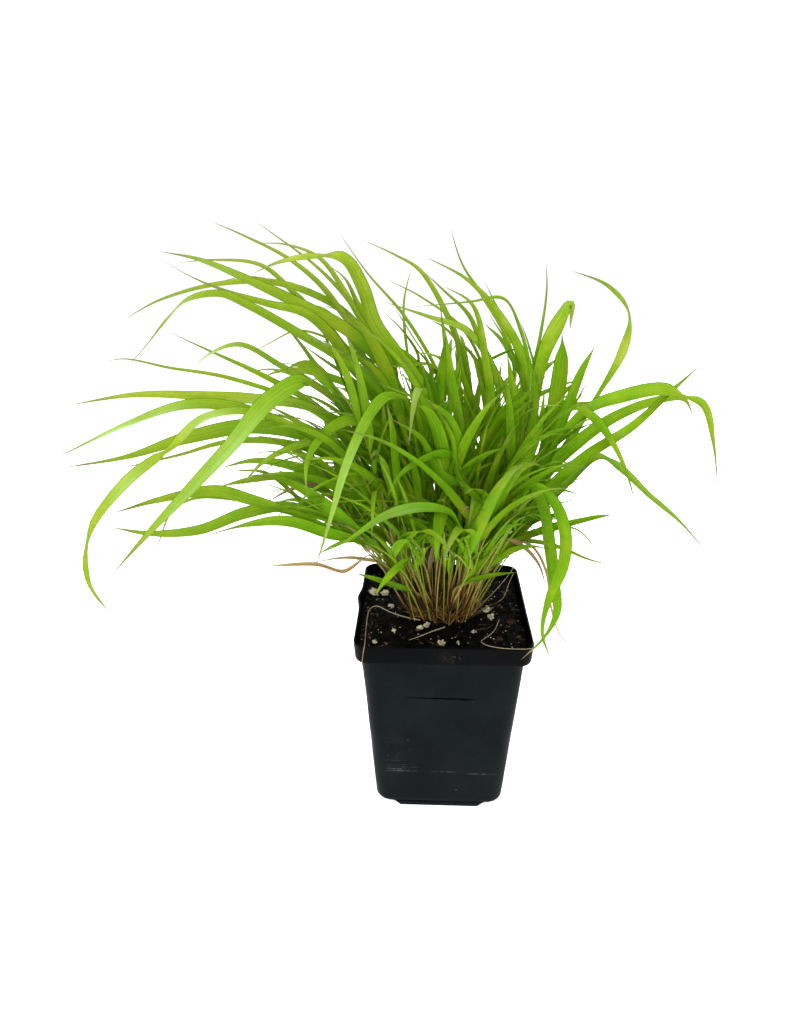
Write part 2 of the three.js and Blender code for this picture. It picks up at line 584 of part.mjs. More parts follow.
// ---------------------------------------------------------------- leaves on the sheet
function sheetLeaf([seen, tipDepth, ...path], depth, fullest) {
  const marks = [];
  for (let i = path.length - 2; i >= 0; i -= 2) marks.push([path[i], path[i + 1]]);
  const [u, v] = marks[Math.floor(marks.length * BLADE.widest)];
  const widest = onSheetAtDepth(u, v, THREE.MathUtils.lerp(depth, tipDepth, BLADE.widest));
  const seenWidth = (seen * widest.sub(SHEET.eye).dot(toAim)) / SHEET.focal;
  const width = THREE.MathUtils.clamp(seenWidth * 1.12 + 0.8, BLADE.narrow, BLADE.broad);
  return { width, seenPart: Math.min(1, seenWidth / width), fullest, tipDepth, marks };
}

// From the stem outwards the leaf's depth runs evenly from the stem's to that of its tip.
function sheetGuide(leaf, start, shift) {
  const reach = [0];
  const [u0, v0] = toSheet(start);
  let [u, v] = [u0, v0];
  leaf.marks.forEach(([nextU, nextV]) => {
    reach.push(reach.at(-1) + Math.hypot(nextU - u, nextV - v));
    [u, v] = [nextU, nextV];
  });
  const near = leaf.marks.length > 2 && reach[1] < 9 ? 1 : 0;
  const guide = leaf.marks.slice(near).map(([markU, markV], i) => {
    const part = reach[i + near + 1] / reach.at(-1);
    return onSheetAtDepth(markU, markV, start.y + (leaf.tipDepth + shift - start.y) * part);
  });
  return [start, ...guide];
}

// Where on its stem a side leaf begins: the nearest place as seen on the sheet.
function sideStart(path, leaf) {
  let best = { distance: Infinity };
  for (let t = 0.3; t < 0.93; t += 0.03) {
    const [u, v] = toSheet(path.getPoint(t));
    const distance = Math.hypot(u - leaf.marks[0][0], v - leaf.marks[0][1]);
    if (distance < best.distance) best = { distance, t };
  }
  return best.t;
}

// ---------------------------------------------------------------- leaves by rule
function ruleLeaf(random, heading, climb) {
  const length = THREE.MathUtils.lerp(EXTRA.shortest, EXTRA.longest, random());
  return {
    length, heading, climb,
    width: THREE.MathUtils.lerp(EXTRA.slim, EXTRA.wide, random()),
    roll: radians(EXTRA.roll) * THREE.MathUtils.lerp(-1, 1, random()),
    droop: radians(EXTRA.droop) * THREE.MathUtils.lerp(EXTRA.leastDroop, EXTRA.mostDroop, random()),
  };
}

function ruleGuide(leaf, start, turn) {
  const heading = leaf.heading + radians(turn);
  const guide = [start];
  for (let i = 1; i <= EXTRA.points; i += 1) {
    const part = (i - 0.5) / EXTRA.points;
    const slope = leaf.climb - leaf.droop * part * (0.6 + part);
    const step = leaf.length / EXTRA.points;
    guide.push(guide.at(-1).clone().add(new THREE.Vector3(
      Math.cos(slope) * Math.cos(heading) * step,
      Math.cos(slope) * Math.sin(heading) * step,
      Math.sin(slope) * step,
    )));
  }
  return guide;
}

// ---------------------------------------------------------------- keeping blades clear
const standing = [];

function boxesOf(rings) {
  return rings.slice(1).map((ring, i) => new THREE.Box3().setFromPoints([...rings[i], ...ring]));
}

function touches(boxes, solid, other) {
  if (!boxes.some((box) => other.boxes.some((otherBox) => box.intersectsBox(otherBox)))) return false;
  const shared = solid.intersect(other.solid);
  const hit = !shared.isEmpty();
  shared.delete();
  return hit;
}

// A new blade stays clear of every other stem, and past its foot of its own stem too.
function isClear(owner, rings) {
  const whole = { boxes: boxesOf(rings), solid: solidOf(skinOver(rings)) };
  const outer = rings.slice(2);
  const free = { boxes: boxesOf(outer), solid: solidOf(skinOver(outer)) };
  const clear = standing.every((other) => {
    const part = other.owner === owner ? free : whole;
    return !touches(part.boxes, part.solid, other);
  });
  whole.solid.delete();
  free.solid.delete();
  return clear;
}

function stand(owner, rings) {
  standing.push({ owner, boxes: boxesOf(rings), solid: solidOf(skinOver(rings)) });
}

function firstClear(owner, options, build) {
  for (const option of options) {
    const made = build(option);
    if (made && isClear(owner, made.ringsWith(CLEAR))) {
      stand(owner, made.ringsWith(0));
      return made;
    }
  }
  return null;
}

// ---------------------------------------------------------------- growing the tuft
function culmTo(root, end, leafStart, rings = culmRings) {
  const path = culmPath(root, end, leafStart);
  return { path, ringsWith: (spare) => rings(path, spare) };
}

function bladeAlong(leaf, guide) {
  const points = curvePoints(guide, bladeSteps(guide));
  return { points, ringsWith: (spare) => bladeRings(points, leaf, spare) };
}

function growSheetLeaf(owner, path, leaf, t) {
  return firstClear(owner, SHIFTS, (shift) => bladeAlong(leaf, sheetGuide(leaf, culmPoint(path, t), shift)));
}

function growRuleLeaf(owner, path, random, t) {
  const ahead = path.getTangent(t);
  const heading = Math.atan2(ahead.y, ahead.x);
  const leaf = ruleLeaf(random, heading, Math.asin(ahead.z) - EXTRA.lift);
  return firstClear(owner, EXTRA.turns, (turn) => {
    const guide = ruleGuide(leaf, culmPoint(path, t), turn);
    return guide.every(inThicket) ? bladeAlong(leaf, guide) : null;
  });
}

function sheetStem(stem) {
  const leaves = stem.leaves.map((row, order) => sheetLeaf(row, stem.depth, stem.fullest?.[order]));
  const [[u, v], [nextU, nextV]] = leaves[0].marks;
  return {
    ...stem, leaves,
    endAt: (shift) => onSheetAtDepth(u, v, stem.depth + shift),
    leafFrom: (shift) => onSheetAtDepth(nextU, nextV, stem.depth + shift),
  };
}

function hiddenStem({ heading, reach, top }) {
  const endAt = (shift) => new THREE.Vector3(reach + shift / 2, 0, top)
    .applyAxisAngle(UP, radians(heading)).add(new THREE.Vector3(CROWN.x, CROWN.y, 0));
  const outwards = new THREE.Vector3(Math.cos(radians(heading)), Math.sin(radians(heading)), 0);
  return { leaves: [], endAt, leafFrom: (shift) => endAt(shift).addScaledVector(outwards, HIDDEN_LEAF_OUT) };
}

function crownRoots(ends) {
  const middle = new THREE.Vector3(CROWN.x, CROWN.y, 0);
  const roots = ends.map((end) => {
    const out = end.clone().setZ(0).sub(middle);
    return out.setLength(CROWN.radius * (1 - Math.exp(-out.length() / CROWN.reach)));
  });
  for (let round = 0; round < 200; round += 1) {
    roots.forEach((root, i) => roots.slice(i + 1).forEach((other) => {
      const apart = other.clone().sub(root);
      const lack = CROWN.spacing - apart.length();
      if (lack > 0) {
        apart.setLength(lack / 2);
        other.add(apart);
        root.sub(apart);
      }
    }));
    roots.forEach((root) => root.clampLength(0, CROWN.radius));
  }
  return roots.map((root) => root.add(middle));
}

const stems = [...STEMS.map(sheetStem), ...HIDDEN_STEMS.map(hiddenStem)];
const roots = crownRoots(stems.map((stem) => stem.endAt(0)));
stems.forEach((stem, i) => {
  stem.name = `leafy_stem_${String(i + 1).padStart(2, '0')}`;
  stem.root = roots[i];
});

stems.forEach((stem) => {
  const grow = (shift) => culmTo(stem.root, stem.endAt(shift), stem.leafFrom(shift));
  stem.culm = firstClear(stem.name, SHIFTS, grow);
});

stems.forEach((stem) => stem.leaves.forEach((leaf, order) => {
  const t = order === 0 ? CULM.leafAt : sideStart(stem.culm.path, leaf);
  growSheetLeaf(stem.name, stem.culm.path, leaf, t);
}));

Object.entries(STRAWS).forEach(([name, straws]) => {
  straws.forEach((marks) => stand(name, strawRings(marks)));
});

// Each stem's side shoot leaves from the same root at an angle to it.
stems.forEach((stem, i) => {
  const random = randomStream(EXTRA.seed + i);
  const share = THREE.MathUtils.lerp(SHOOT.shortest, SHOOT.longest, random());
  const { v0: foot, v3: stemEnd } = stem.culm.path;
  const shoot = firstClear(stem.name, SHOOT.turns, (turn) => {
    const reach = stemEnd.clone().sub(foot).multiplyScalar(share).applyAxisAngle(UP, radians(turn));
    const end = foot.clone().add(reach);
    const leafStart = end.clone().add(reach.setZ(0).setLength(SHOOT.leafOut));
    return inThicket(end) ? culmTo(stem.root, end, leafStart, shootRings) : null;
  });
  const leavesAt = shoot ? SHOOT.leavesAt : [];
  leavesAt.forEach((t) => growRuleLeaf(stem.name, shoot.path, random, t));
  const extras = stem.leaves.length > 0 ? EXTRA.perStem : EXTRA.perHiddenStem;
  for (let k = 0; k < extras; k += 1) {
    const t = THREE.MathUtils.lerp(EXTRA.lowest, EXTRA.highest, random());
    growRuleLeaf(stem.name, stem.culm.path, random, t);
  }
});

// ---------------------------------------------------------------- the whole plant
const group = new THREE.Group();
group.name = 'japanese_forest_grass';

function addGrown(name, look) {
  const solids = standing.filter((piece) => piece.owner === name).map((piece) => piece.solid);
  group.add(meshOf(name, solids.reduce((sum, solid) => sum.add(solid)), look));
}

group.add(meshOf('pot', makePot(), LOOK.pot));
group.add(meshOf('soil', makeSoil(roots), LOOK.soil));
stems.forEach((stem) => addGrown(stem.name, stem.dry ? LOOK.dryStem : LOOK.stem));
Object.keys(STRAWS).forEach((name) => addGrown(name, LOOK.straw));

export default group;
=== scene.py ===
import math
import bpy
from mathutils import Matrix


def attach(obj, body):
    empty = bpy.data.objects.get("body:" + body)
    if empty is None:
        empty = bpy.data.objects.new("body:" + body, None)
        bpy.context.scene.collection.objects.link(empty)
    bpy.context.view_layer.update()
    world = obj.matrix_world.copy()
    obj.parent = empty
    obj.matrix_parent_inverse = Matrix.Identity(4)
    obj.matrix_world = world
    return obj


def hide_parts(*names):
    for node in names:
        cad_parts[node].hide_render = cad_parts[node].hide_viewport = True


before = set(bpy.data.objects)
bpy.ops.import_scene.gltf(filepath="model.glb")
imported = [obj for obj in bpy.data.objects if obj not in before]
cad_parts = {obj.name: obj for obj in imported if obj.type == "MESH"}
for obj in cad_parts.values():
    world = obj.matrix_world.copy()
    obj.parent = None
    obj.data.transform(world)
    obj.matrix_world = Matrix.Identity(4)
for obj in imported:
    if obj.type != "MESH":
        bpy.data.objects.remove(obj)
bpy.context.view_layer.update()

from types import SimpleNamespace as Values
import bpy
import bmesh
import numpy as np
from numpy.linalg import norm
from mathutils import Color, Euler, Vector, kdtree, noise

bl_info = {
    "name": "Potted Japanese forest grass",
    "version": (1, 0, 0),
    "blender": (4, 5, 0),
    "location": "View3D > Sidebar > Forest Grass",
    "description": "Leafy stems, potting mix, straws and nursery pot, built round the packed model",
    "category": "Object",
}

MM = 0.001
UP = np.array((0.0, 0.0, 1.0))
HALF_TURN = 3.1416
FULL_TURN = 6.283
WHITE = (1, 1, 1, 1)


def like(values, **changes):
    return Values(**{**vars(values), **changes})


# ---- driving dimensions, in mm
POT = Values(
    height=124, rim_width=100, rim_height=11.5, rim_draft=1.4, rim_corner=8, wall_top=92.5,
    foot_width=77.4, wall_corner=8.5, foot_cut=14.5, heel_height=3.6, heel_corner=9.5, thickness=1.3,
    floor=2.4, slit=Values(x=-0.8, z=86.6, length=40, height=1.1, tilt=-1),
    drain=Values(from_centre=41, z=4.2, radius=4, tilt=38), buckle=Values(y=6, reach=7, bulge=2),
)
SOIL = Values(level=117.6, mound=3.2, mound_reach=27, gap=0.35)
CROWN = Values(x=2, y=0, radius=30)
CULM = Values(
    radius=0.85, tip_radius=0.6, shoot_radius=0.7, steps=4, upright=3.4, sunk=7.6, rise=0.3, lift=0.07,
    ease=0.24, leaf_at=0.95,
)
BLADE = Values(
    foot_half=0.3, widest=0.28, tip_power=1.7, narrow=3, broad=11, step=58, turn_per_step=0.66,
    first_steps=1.8, fewest=4, most=9, unseen=1.12, margin=0.8, near=9, early_droop=0.6,
)
SIDE = Values(lowest=0.3, highest=0.93, step=0.03)
SHIFTS = (0, 6, -6, 12, -12, 18, -18, 25, -25, 33, -33, 42, -42, 54, -54, 68, -68)
SHOOT = Values(
    turns=(22, -22, 34, -34, 48, -48, 64, -64, 84, -84), shortest=0.55, longest=0.85, leaf_out=10,
    leaves_at=(0.95, 0.75, 0.55),
)
EXTRA = Values(
    per_stem=3, per_hidden_stem=5, turns=(22, -22, 38, -38, 56, -56, 12, -12, 80, -80), lowest=0.4,
    highest=0.9, shortest=66, longest=132, slim=3.6, wide=8.4, roll=50, lift=0.06, droop=34,
    least_droop=0.5, most_droop=1.3, points=5, seed=100,
)
SAME_PLACE = 0.03
TUBE_SIDE = (0.3, 1, 0.1)

# The layout sheet: leaves are drawn as they look from the front, from an eye a little above the
# tuft, on a sheet 800 wide and 1024 high. u runs right and v runs down.
SHEET = Values(
    eye=np.array((-11.9, -389.5, 352.6)), aim=np.array((-25.5, 0.0, 183.1)), focal=739.6,
    middle=(400, 512),
)
# A row is one stem: how deep its end is, front (-) to back (+), and its leaves. A leaf has its seen
# width on the sheet, its tip's depth, and its middle line as u,v pairs from the tip in to the stem.
STEMS = [
    (45, [[7, 70, 208, 220, 240, 234, 287, 258, 320, 285, 340, 311, 358, 334, 377, 360],
     [8, 62, 327, 264, 345, 279, 357, 304, 374, 330, 394, 362],
     [7, 28, 278, 318, 298, 341, 318, 369, 338, 396, 358, 426]]),
    (-8, [[13, -26, 252, 274, 280, 262, 320, 256, 344, 259, 361, 286, 374, 324, 395, 352, 418, 380],
     [3, 10, 393, 305, 410, 333, 432, 374]]),
    (18, [[12, 2, 158, 251, 200, 260, 256, 284, 305, 308, 345, 330, 368, 350, 396, 386],
     [6, 44, 252, 219, 280, 239, 315, 266, 345, 297, 366, 328, 386, 356],
     [5, 12, 300, 343, 325, 361, 352, 380, 376, 402]]),
    (-16, [[8, -46, 119, 376, 145, 347, 168, 318, 187, 300, 220, 294, 245, 304, 295, 332, 350, 366, 384, 400],
     [6, 12, 247, 243, 288, 245, 320, 259, 343, 290, 360, 320, 382, 350]]),
    (58, [[7, 76, 123, 320, 160, 300, 220, 284, 280, 284, 333, 305, 356, 324, 378, 350],
     [6, 92, 176, 263, 215, 260, 262, 266, 297, 297, 326, 324, 350, 352],
     [6, 42, 161, 328, 205, 349, 255, 372, 302, 397, 340, 420]]),
    (8, [[12, -12, 155, 256, 200, 281, 263, 303, 305, 314, 330, 336, 352, 368, 378, 400],
     [3, 4, 240, 361, 270, 343, 300, 331, 342, 347, 366, 370]]),
    (32, [[7, 14, 191, 369, 210, 354, 240, 345, 280, 366, 324, 392, 352, 416],
     [6, 62, 238, 374, 275, 370, 318, 388, 344, 408], [3, 60, 213, 283, 250, 277, 285, 287, 308, 306]]),
    (4, [[11, -6, 64, 406, 136, 395, 208, 397, 255, 400, 305, 407, 340, 424],
     [5, 36, 98, 363, 125, 359, 169, 368, 223, 377, 292, 399, 326, 416]]),
    (-20, [[11, -46, 52, 460, 128, 424, 184, 406, 230, 407, 285, 424, 326, 448],
     [6, -20, 268, 408, 300, 425, 338, 446]]),
    (-32, [[11, -76, 112, 616, 89, 582, 90, 533, 126, 484, 174, 446, 203, 419, 245, 412, 300, 430, 334, 452],
     [5, -8, 262, 432, 285, 446, 320, 462, 346, 482]]),
    (-4, [[16, -24, 62, 468, 128, 457, 192, 438, 255, 428, 310, 440, 344, 460],
     [8, 16, 108, 471, 176, 456, 231, 442, 287, 444, 336, 461]]),
    (-44, [[18, -96, 110, 577, 149, 533, 192, 488, 233, 444, 268, 403, 300, 384],
     [4, -30, 238, 455, 280, 452, 320, 462, 352, 486]]),
    (-36, [[12, -62, 110, 514, 160, 500, 215, 492, 247, 500, 290, 513, 335, 530],
     [3, -18, 208, 485, 239, 493, 279, 508, 330, 523]]),
    (-12, [[14, -22, 109, 527, 152, 534, 200, 531, 247, 514, 290, 508, 335, 521],
     [3, 12, 143, 577, 158, 545, 172, 512, 195, 499, 250, 503]]),
    (-52, [[12, -72, 198, 538, 247, 525, 287, 522, 330, 535, 362, 542],
     [4, -66, 315, 556, 335, 545, 352, 541, 375, 548]]),
    (22, [[10, 26, 217, 487, 247, 481, 290, 478, 332, 493],
     [12, 46, 217, 469, 255, 461, 303, 470, 338, 486]]),
    (0, [[5, 2, 219, 472, 265, 473, 303, 503, 334, 523],
     [9, -34, 238, 490, 264, 462, 303, 444, 340, 434]]),
    (-28, [[12, -62, 306, 495, 308, 460, 330, 430, 356, 421, 380, 434],
     [3, -8, 310, 491, 345, 499, 374, 509]]),
    (-56, [[13, -116, 315, 570, 332, 515, 348, 464, 371, 415, 386, 398, 406, 396],
     [8, -60, 377, 383, 419, 400, 449, 418, 459, 452]]),
    (-66, [[11, -84, 303, 560, 345, 542, 387, 516, 423, 508, 450, 513, 464, 538]]),
    (-44, [[8, -58, 375, 595, 384, 583, 395, 571, 408, 559]]),
    (-30, [[6, -34, 355, 573, 380, 581, 415, 593]]),
    (-14, [[5, -32, 266, 566, 287, 565, 317, 565, 345, 572, 363, 558],
     [3, 2, 303, 564, 350, 558, 385, 561]]),
    (62, [[5, 96, 358, 238, 395, 255, 420, 271, 447, 316, 460, 352, 468, 394],
     [4, 70, 430, 320, 443, 327, 462, 350]]),
    (24, [[9, 34, 424, 256, 467, 280, 498, 315, 524, 364, 532, 410],
     [4, 48, 483, 278, 497, 308, 514, 345]]),
    (72, [[4, 112, 449, 223, 462, 264, 482, 296, 508, 343, 516, 390],
     [5, 88, 423, 271, 445, 292, 468, 315, 482, 346]]),
    (-12, [[5, -38, 412, 307, 470, 302, 503, 299, 519, 328, 528, 365],
     [11, -10, 507, 352, 513, 400, 508, 452]]),
    (14, [[7, -8, 382, 301, 432, 318, 465, 330, 490, 364, 500, 405],
     [3, 40, 384, 278, 422, 298, 466, 334]]),
    (50, [[3, 66, 412, 264, 404, 305, 409, 362], [3, 42, 383, 311, 404, 333, 418, 358],
     [4, 30, 409, 341, 427, 362, 440, 384]]),
    (0, [[9, 14, 442, 285, 472, 305, 484, 355, 490, 398, 490, 440],
     [3, -18, 405, 354, 432, 355, 450, 370]]),
    (-22, [[10, -12, 440, 305, 446, 350, 453, 394, 462, 436], [10, -30, 455, 398, 466, 440, 476, 488]]),
    (36, [[7, 30, 445, 328, 473, 357, 488, 392, 494, 430], [3, 12, 375, 363, 400, 367, 432, 366],
     [7, 44, 446, 310, 456, 340, 462, 376]]),
    (54, [[5, 56, 484, 323, 503, 343, 518, 368], [3, 70, 487, 311, 502, 335, 516, 362],
     [3, 78, 520, 320, 529, 345, 534, 372]]),
    (26, [[4, 48, 336, 228, 367, 273, 403, 315, 434, 366], [4, 24, 296, 302, 325, 310, 354, 340]]),
    (-10, [
     [13, -42, 719, 502, 713, 441, 703, 405, 685, 397, 662, 390, 620, 398, 592, 408, 560, 440, 536, 474]]),
    (16, [[13, 22, 694, 418, 683, 399, 648, 404, 602, 426, 560, 460, 532, 494],
     [3, 30, 593, 370, 581, 394, 566, 420]]),
    (-30, [[12, -22, 706, 360, 673, 390, 633, 427, 587, 457, 548, 492, 522, 524],
     [12, -34, 545, 385, 540, 430, 522, 482]]),
    (2, [[11, -16, 714, 561, 680, 522, 648, 495, 618, 467, 598, 457, 572, 478, 546, 506, 520, 540],
     [10, 20, 520, 372, 522, 420, 512, 470]]),
    (-22, [[10, -52, 636, 505, 624, 466, 607, 435, 592, 418, 577, 408, 561, 419, 546, 432],
     [8, -26, 425, 418, 438, 455, 448, 500]]),
    (-38, [[14, -62, 521, 660, 545, 636, 556, 612, 553, 584, 548, 545, 540, 502, 522, 480, 490, 511]]),
    (-54, [[12, -100, 551, 660, 542, 633, 548, 600, 562, 566, 564, 532, 553, 502, 536, 486, 516, 500],
     [8, -40, 437, 408, 451, 436, 460, 482]]),
    (-16, [[7, -26, 616, 514, 595, 518, 537, 533, 510, 541],
     [5, 6, 615, 566, 587, 559, 560, 548, 532, 542], [4, 22, 599, 561, 587, 538, 570, 528, 540, 533]]),
    (-24, [[5, -40, 547, 590, 538, 564, 521, 546, 504, 538],
     [3, -30, 581, 648, 562, 638, 551, 609, 545, 570, 530, 546]]),
    (46, [[7, 62, 570, 270, 608, 286, 629, 314, 621, 352, 594, 400, 560, 457, 540, 494],
     [6, 50, 462, 395, 478, 415, 486, 462]]),
    (40, [[14, 30, 570, 330, 571, 304, 556, 330, 544, 358, 532, 420, 522, 470],
     [5, 66, 546, 259, 547, 290, 541, 335, 532, 376, 526, 410]]),
    (26, [[16, 22, 562, 333, 563, 360, 553, 420, 536, 480], [10, 10, 530, 355, 535, 400, 526, 452]]),
    (0, [[12, -8, 595, 346, 583, 370, 572, 400, 550, 456, 534, 496],
     [10, 26, 470, 345, 482, 390, 493, 442]]),
    (-48, [[8, -70, 385, 501, 398, 478, 416, 464, 446, 454, 462, 474],
     [5, -62, 416, 544, 433, 531, 452, 538], [9, -54, 390, 418, 420, 438, 440, 474]]),
    (-36, [[5, -30, 520, 572, 490, 576, 468, 582]]),
]
# Leaves that are widest further out than BLADE's widest: the first leaf of a stem, by stem number.
FULLEST = {
    2: 0.38, 3: 0.45, 5: 0.42, 8: 0.42, 9: 0.5, 10: 0.56, 11: 0.45, 13: 0.5, 14: 0.45, 19: 0.4, 35: 0.42,
    39: 0.5, 40: 0.42, 41: 0.45, 44: 0.5, 45: 0.6, 46: 0.55, 47: 0.45,
}
DRY_STEMS = (23, 43)
# Stems on the far side: heading, then reach and height in mm.
HIDDEN_STEMS = ((66, 62, 262), (90, 74, 246), (117, 66, 264), (146, 70, 236), (40, 60, 244))
HIDDEN_LEAF_OUT = 20
THICKET = [
    (290, 322), (330, 296), (382, 336), (424, 352), (462, 320), (500, 332), (532, 348), (560, 334),
    (590, 368), (612, 410), (604, 470), (584, 522), (556, 556), (500, 566), (440, 568), (385, 562),
    (346, 548), (300, 532), (250, 520), (236, 470), (232, 430), (250, 380),
]
# Dry straws of last year. Each point is u, v on the sheet and its height in mm.
STRAW_RADII = {"straw_over_rim": 0.33, "straw_pair": 0.26, "straw_on_soil": 0.34, "straw_by_rim": 0.24}
STRAWS = {
    "straw_over_rim": [
        [(420, 620, 121.6), (405, 617, 121.2), (390, 612, 121.6), (377, 606, 122.6), (370, 609, 124),
         (367, 620, 125.4), (365.5, 636, 126.2), (364.5, 645.5, 125.9), (363.3, 652, 123.4),
         (362, 664, 116.2), (361.5, 674, 110)]],
    "straw_pair": [
        [(471, 616, 121.6), (475, 610, 124), (488, 598, 132), (510, 573, 149), (517, 560, 157)],
        [(471, 616, 121.6), (487, 607, 124.5), (502, 599, 128), (509, 583, 140), (513.5, 573, 147)]],
    "straw_on_soil": [[(445, 627, 121.4), (433, 631, 121.2), (418, 637, 121), (409, 640, 121)]],
    "straw_by_rim": [
        [(499, 620, 121.6), (494, 631, 122.4), (484, 639, 124), (481, 641.5, 124.8),
         (486, 645, 125.4), (497, 647.5, 125.6), (516, 649, 125.4), (531, 648.5, 125.4),
         (538, 646, 126)]],
}
# Perlite grains and bark chips in the soil: u, v on the sheet, then radius in mm.
GRAINS = [
    (375, 592, 3.1), (385, 593, 2.5), (391, 606, 1.9), (420, 629, 1.6), (427, 627, 2),
    (394, 630, 1.3), (375, 641, 1.4), (487, 611, 2.7), (491, 618, 2.2), (441, 643, 2.3),
    (474, 632, 1.3), (458, 643, 1.2), (511, 622, 2.4), (500, 638, 2),
]
BARK_GRAINS = (12, 13)
# The heart of the tuft, in mm. Leaves turn olive and thin out away from it.
HEART = np.array((15, 0, 185))
# Leaves that stand out, as stem number and leaf order, by their mood. The lit leaves get a higher tint:
# painted light, as if more light fell on them.
MOOD_LEAVES = {
    "lit": [(1, 0), (2, 0), (3, 1), (4, 1), (5, 1), (8, 0), (10, 0), (24, 0), (28, 0), (30, 0)],
    "fresh": [(6, 0), (13, 0), (16, 0), (27, 1), (32, 0), (33, 0), (35, 0), (36, 0), (37, 0), (38, 0)],
    "deep": [(11, 0), (12, 0), (14, 0), (15, 0), (16, 1), (18, 0), (19, 0), (20, 0), (31, 1), (37, 1),
             (38, 1), (39, 0), (39, 1), (40, 0), (41, 0), (41, 1), (46, 0), (46, 1), (47, 0), (48, 0),
             (48, 2)],
}
LEAF_MOODS = {leaf: mood for mood, leaves in MOOD_LEAVES.items() for leaf in leaves}
MOODS = {
    "lit": {"tint": 0.56}, "fresh": {"tint": 0.3}, "deep": {"tint": 0.08}, "dry": {"dry": 0.8, "tint": 0.5},
}
# Where a leaf twists or catches the light: u and v on the sheet, reach, share of its width there,
# and how much paler and brighter it is there.
ACCENTS = {
    (2, 0): [(325, 257, 9, 0.35, 0, 0.1), (286, 263, 24, 1.1, 0.1, 0.5)],
    (3, 0): [(205, 262, 40, 1, 0.25, 0.1)],
    (4, 0): [(176, 308, 15, 0.35, 0.6, 0.2), (148, 342, 22, 0.6, 0.15, 0)],
    (6, 0): [(180, 270, 46, 0.3, 0, -0.3), (230, 294, 20, 0.8, 0, -0.1)],
    (7, 0): [(206, 357, 18, 1, 1, 0.1), (280, 368, 40, 0.85, 0, -0.2)],
    (8, 0): [(262, 402, 26, 0.95, 0.2, 0.25)], (8, 1): [(140, 363, 50, 0.8, 0, -0.4)],
    (9, 0): [(110, 432, 30, 1, 1, 0.3), (165, 412, 24, 1, 0.4, 0.2)],
    (10, 0): [(168, 452, 9, 0.35, 0, -0.1), (128, 486, 24, 1.2, 0.5, 0), (90, 543, 14, 0.45, 0, -0.1),
     (90, 574, 14, 1.3, 0, -0.4), (102, 600, 12, 1.6, 0, -0.4), (208, 418, 24, 0.85, 0.6, 0.1)],
    (11, 0): [(110, 459, 36, 0.7, 0, -0.1)],
    (12, 0): [(225, 450, 45, 0.9, 0.4, 0), (175, 512, 35, 1, 0.25, 0)],
    (14, 1): [(150, 560, 16, 0.6, 0, -0.2)], (15, 0): [(225, 530, 22, 0.5, 0, -0.1)],
    (19, 0): [(345, 470, 36, 1, 0.4, 0), (326, 520, 30, 0.8, 0.3, 0.1)],
    (20, 0): [(458, 522, 26, 0.35, 0, -0.1), (396, 515, 28, 1.25, 0.35, 0.1),
     (322, 551, 24, 0.5, 0, -0.1)],
    (35, 0): [(684, 398, 11, 0.28, 0, -0.1), (708, 424, 15, 1.25, 0, 0), (716, 470, 20, 0.7, 0, -0.1)],
    (37, 0): [(700, 366, 20, 0.6, 0, -0.3)],
    (38, 0): [(668, 512, 18, 1.25, 0, 0.1), (606, 460, 9, 0.5, 0, 0)],
    (39, 0): [(552, 422, 22, 0.16, 0, 0), (600, 428, 16, 1.2, 0, -0.1)],
    (40, 0): [(546, 634, 16, 0.7, 0, 0), (504, 494, 17, 0.2, 0, 0)],
    (41, 0): [(545, 620, 20, 0.75, 0, 0), (520, 490, 17, 0.3, 0, 0)],
    (41, 3): [(505, 490, 50, 0.6, 0, -0.3)], (41, 5): [(425, 472, 80, 0.5, 0, -0.4)],
    (44, 4): [(495, 490, 60, 0.7, 0, -0.3)],
    (44, 0): [(629, 314, 16, 0.3, 0.15, 0), (620, 350, 15, 1.2, 0, 0.9), (596, 396, 26, 0.6, 0, 0)],
    (45, 0): [(570, 312, 12, 0.8, 0.1, 0)], (46, 0): [(562, 340, 9, 0.5, 0, 0)],
}
# Marks on the pot, in mm: centre, reach along x, y and z, and how strong.
POT_MARKS = (
    ((4.5, -49.5, 119), (9, 4, 7), 0.6), ((-26, -39.8, 31.5), (15, 4, 6), 0.4),
    ((-24, -41, 48), (18, 5, 22), 0.36), ((-15.5, -38.8, 13.6), (0.9, 3, 0.9), 1),
    ((10.4, -38.8, 14.5), (0.9, 3, 0.9), 1), ((18.4, -43.9, 84.6), (1.6, 3, 1.3), 0.9),
    ((-50, -12, 120), (4, 34, 6), 0.4),
)
# Fine pale lines rubbed into the plastic, in mm: centre and reach.
POT_LINES = (
    ((25, -39.6, 28.4), (12, 3, 0.7)), ((3, -39.6, 29.5), (12, 3, 0.4)), ((-22, -39.8, 29.6), (13, 3, 0.6)),
    ((-25, -39.9, 31.2), (10, 3, 0.45)), ((-20, -39.9, 32.8), (9, 3, 0.4)), ((-26, -39.9, 34.6), (9, 3, 0.4)),
    ((-28, -40, 38), (7, 3, 0.4)), ((-8, -46, 112.3), (15, 4, 0.5)), ((20, -46, 111.6), (12, 4, 0.3)),
)


# ---- numbers
def unit(vector):
    return vector / norm(vector)


def lerp(low, high, part):
    return low + (high - low) * part


def units(vectors):
    return vectors / norm(vectors, axis=1)[:, None]


def smooth_step(value, low, high):
    part = np.clip((np.asarray(value, float) - low) / (high - low), 0, 1)
    return part * part * (3 - 2 * part)


def turned_about_up(vector, degrees):
    turn = math.radians(degrees)
    x, y, z = vector
    return np.array((x * math.cos(turn) - y * math.sin(turn), x * math.sin(turn) + y * math.cos(turn), z))


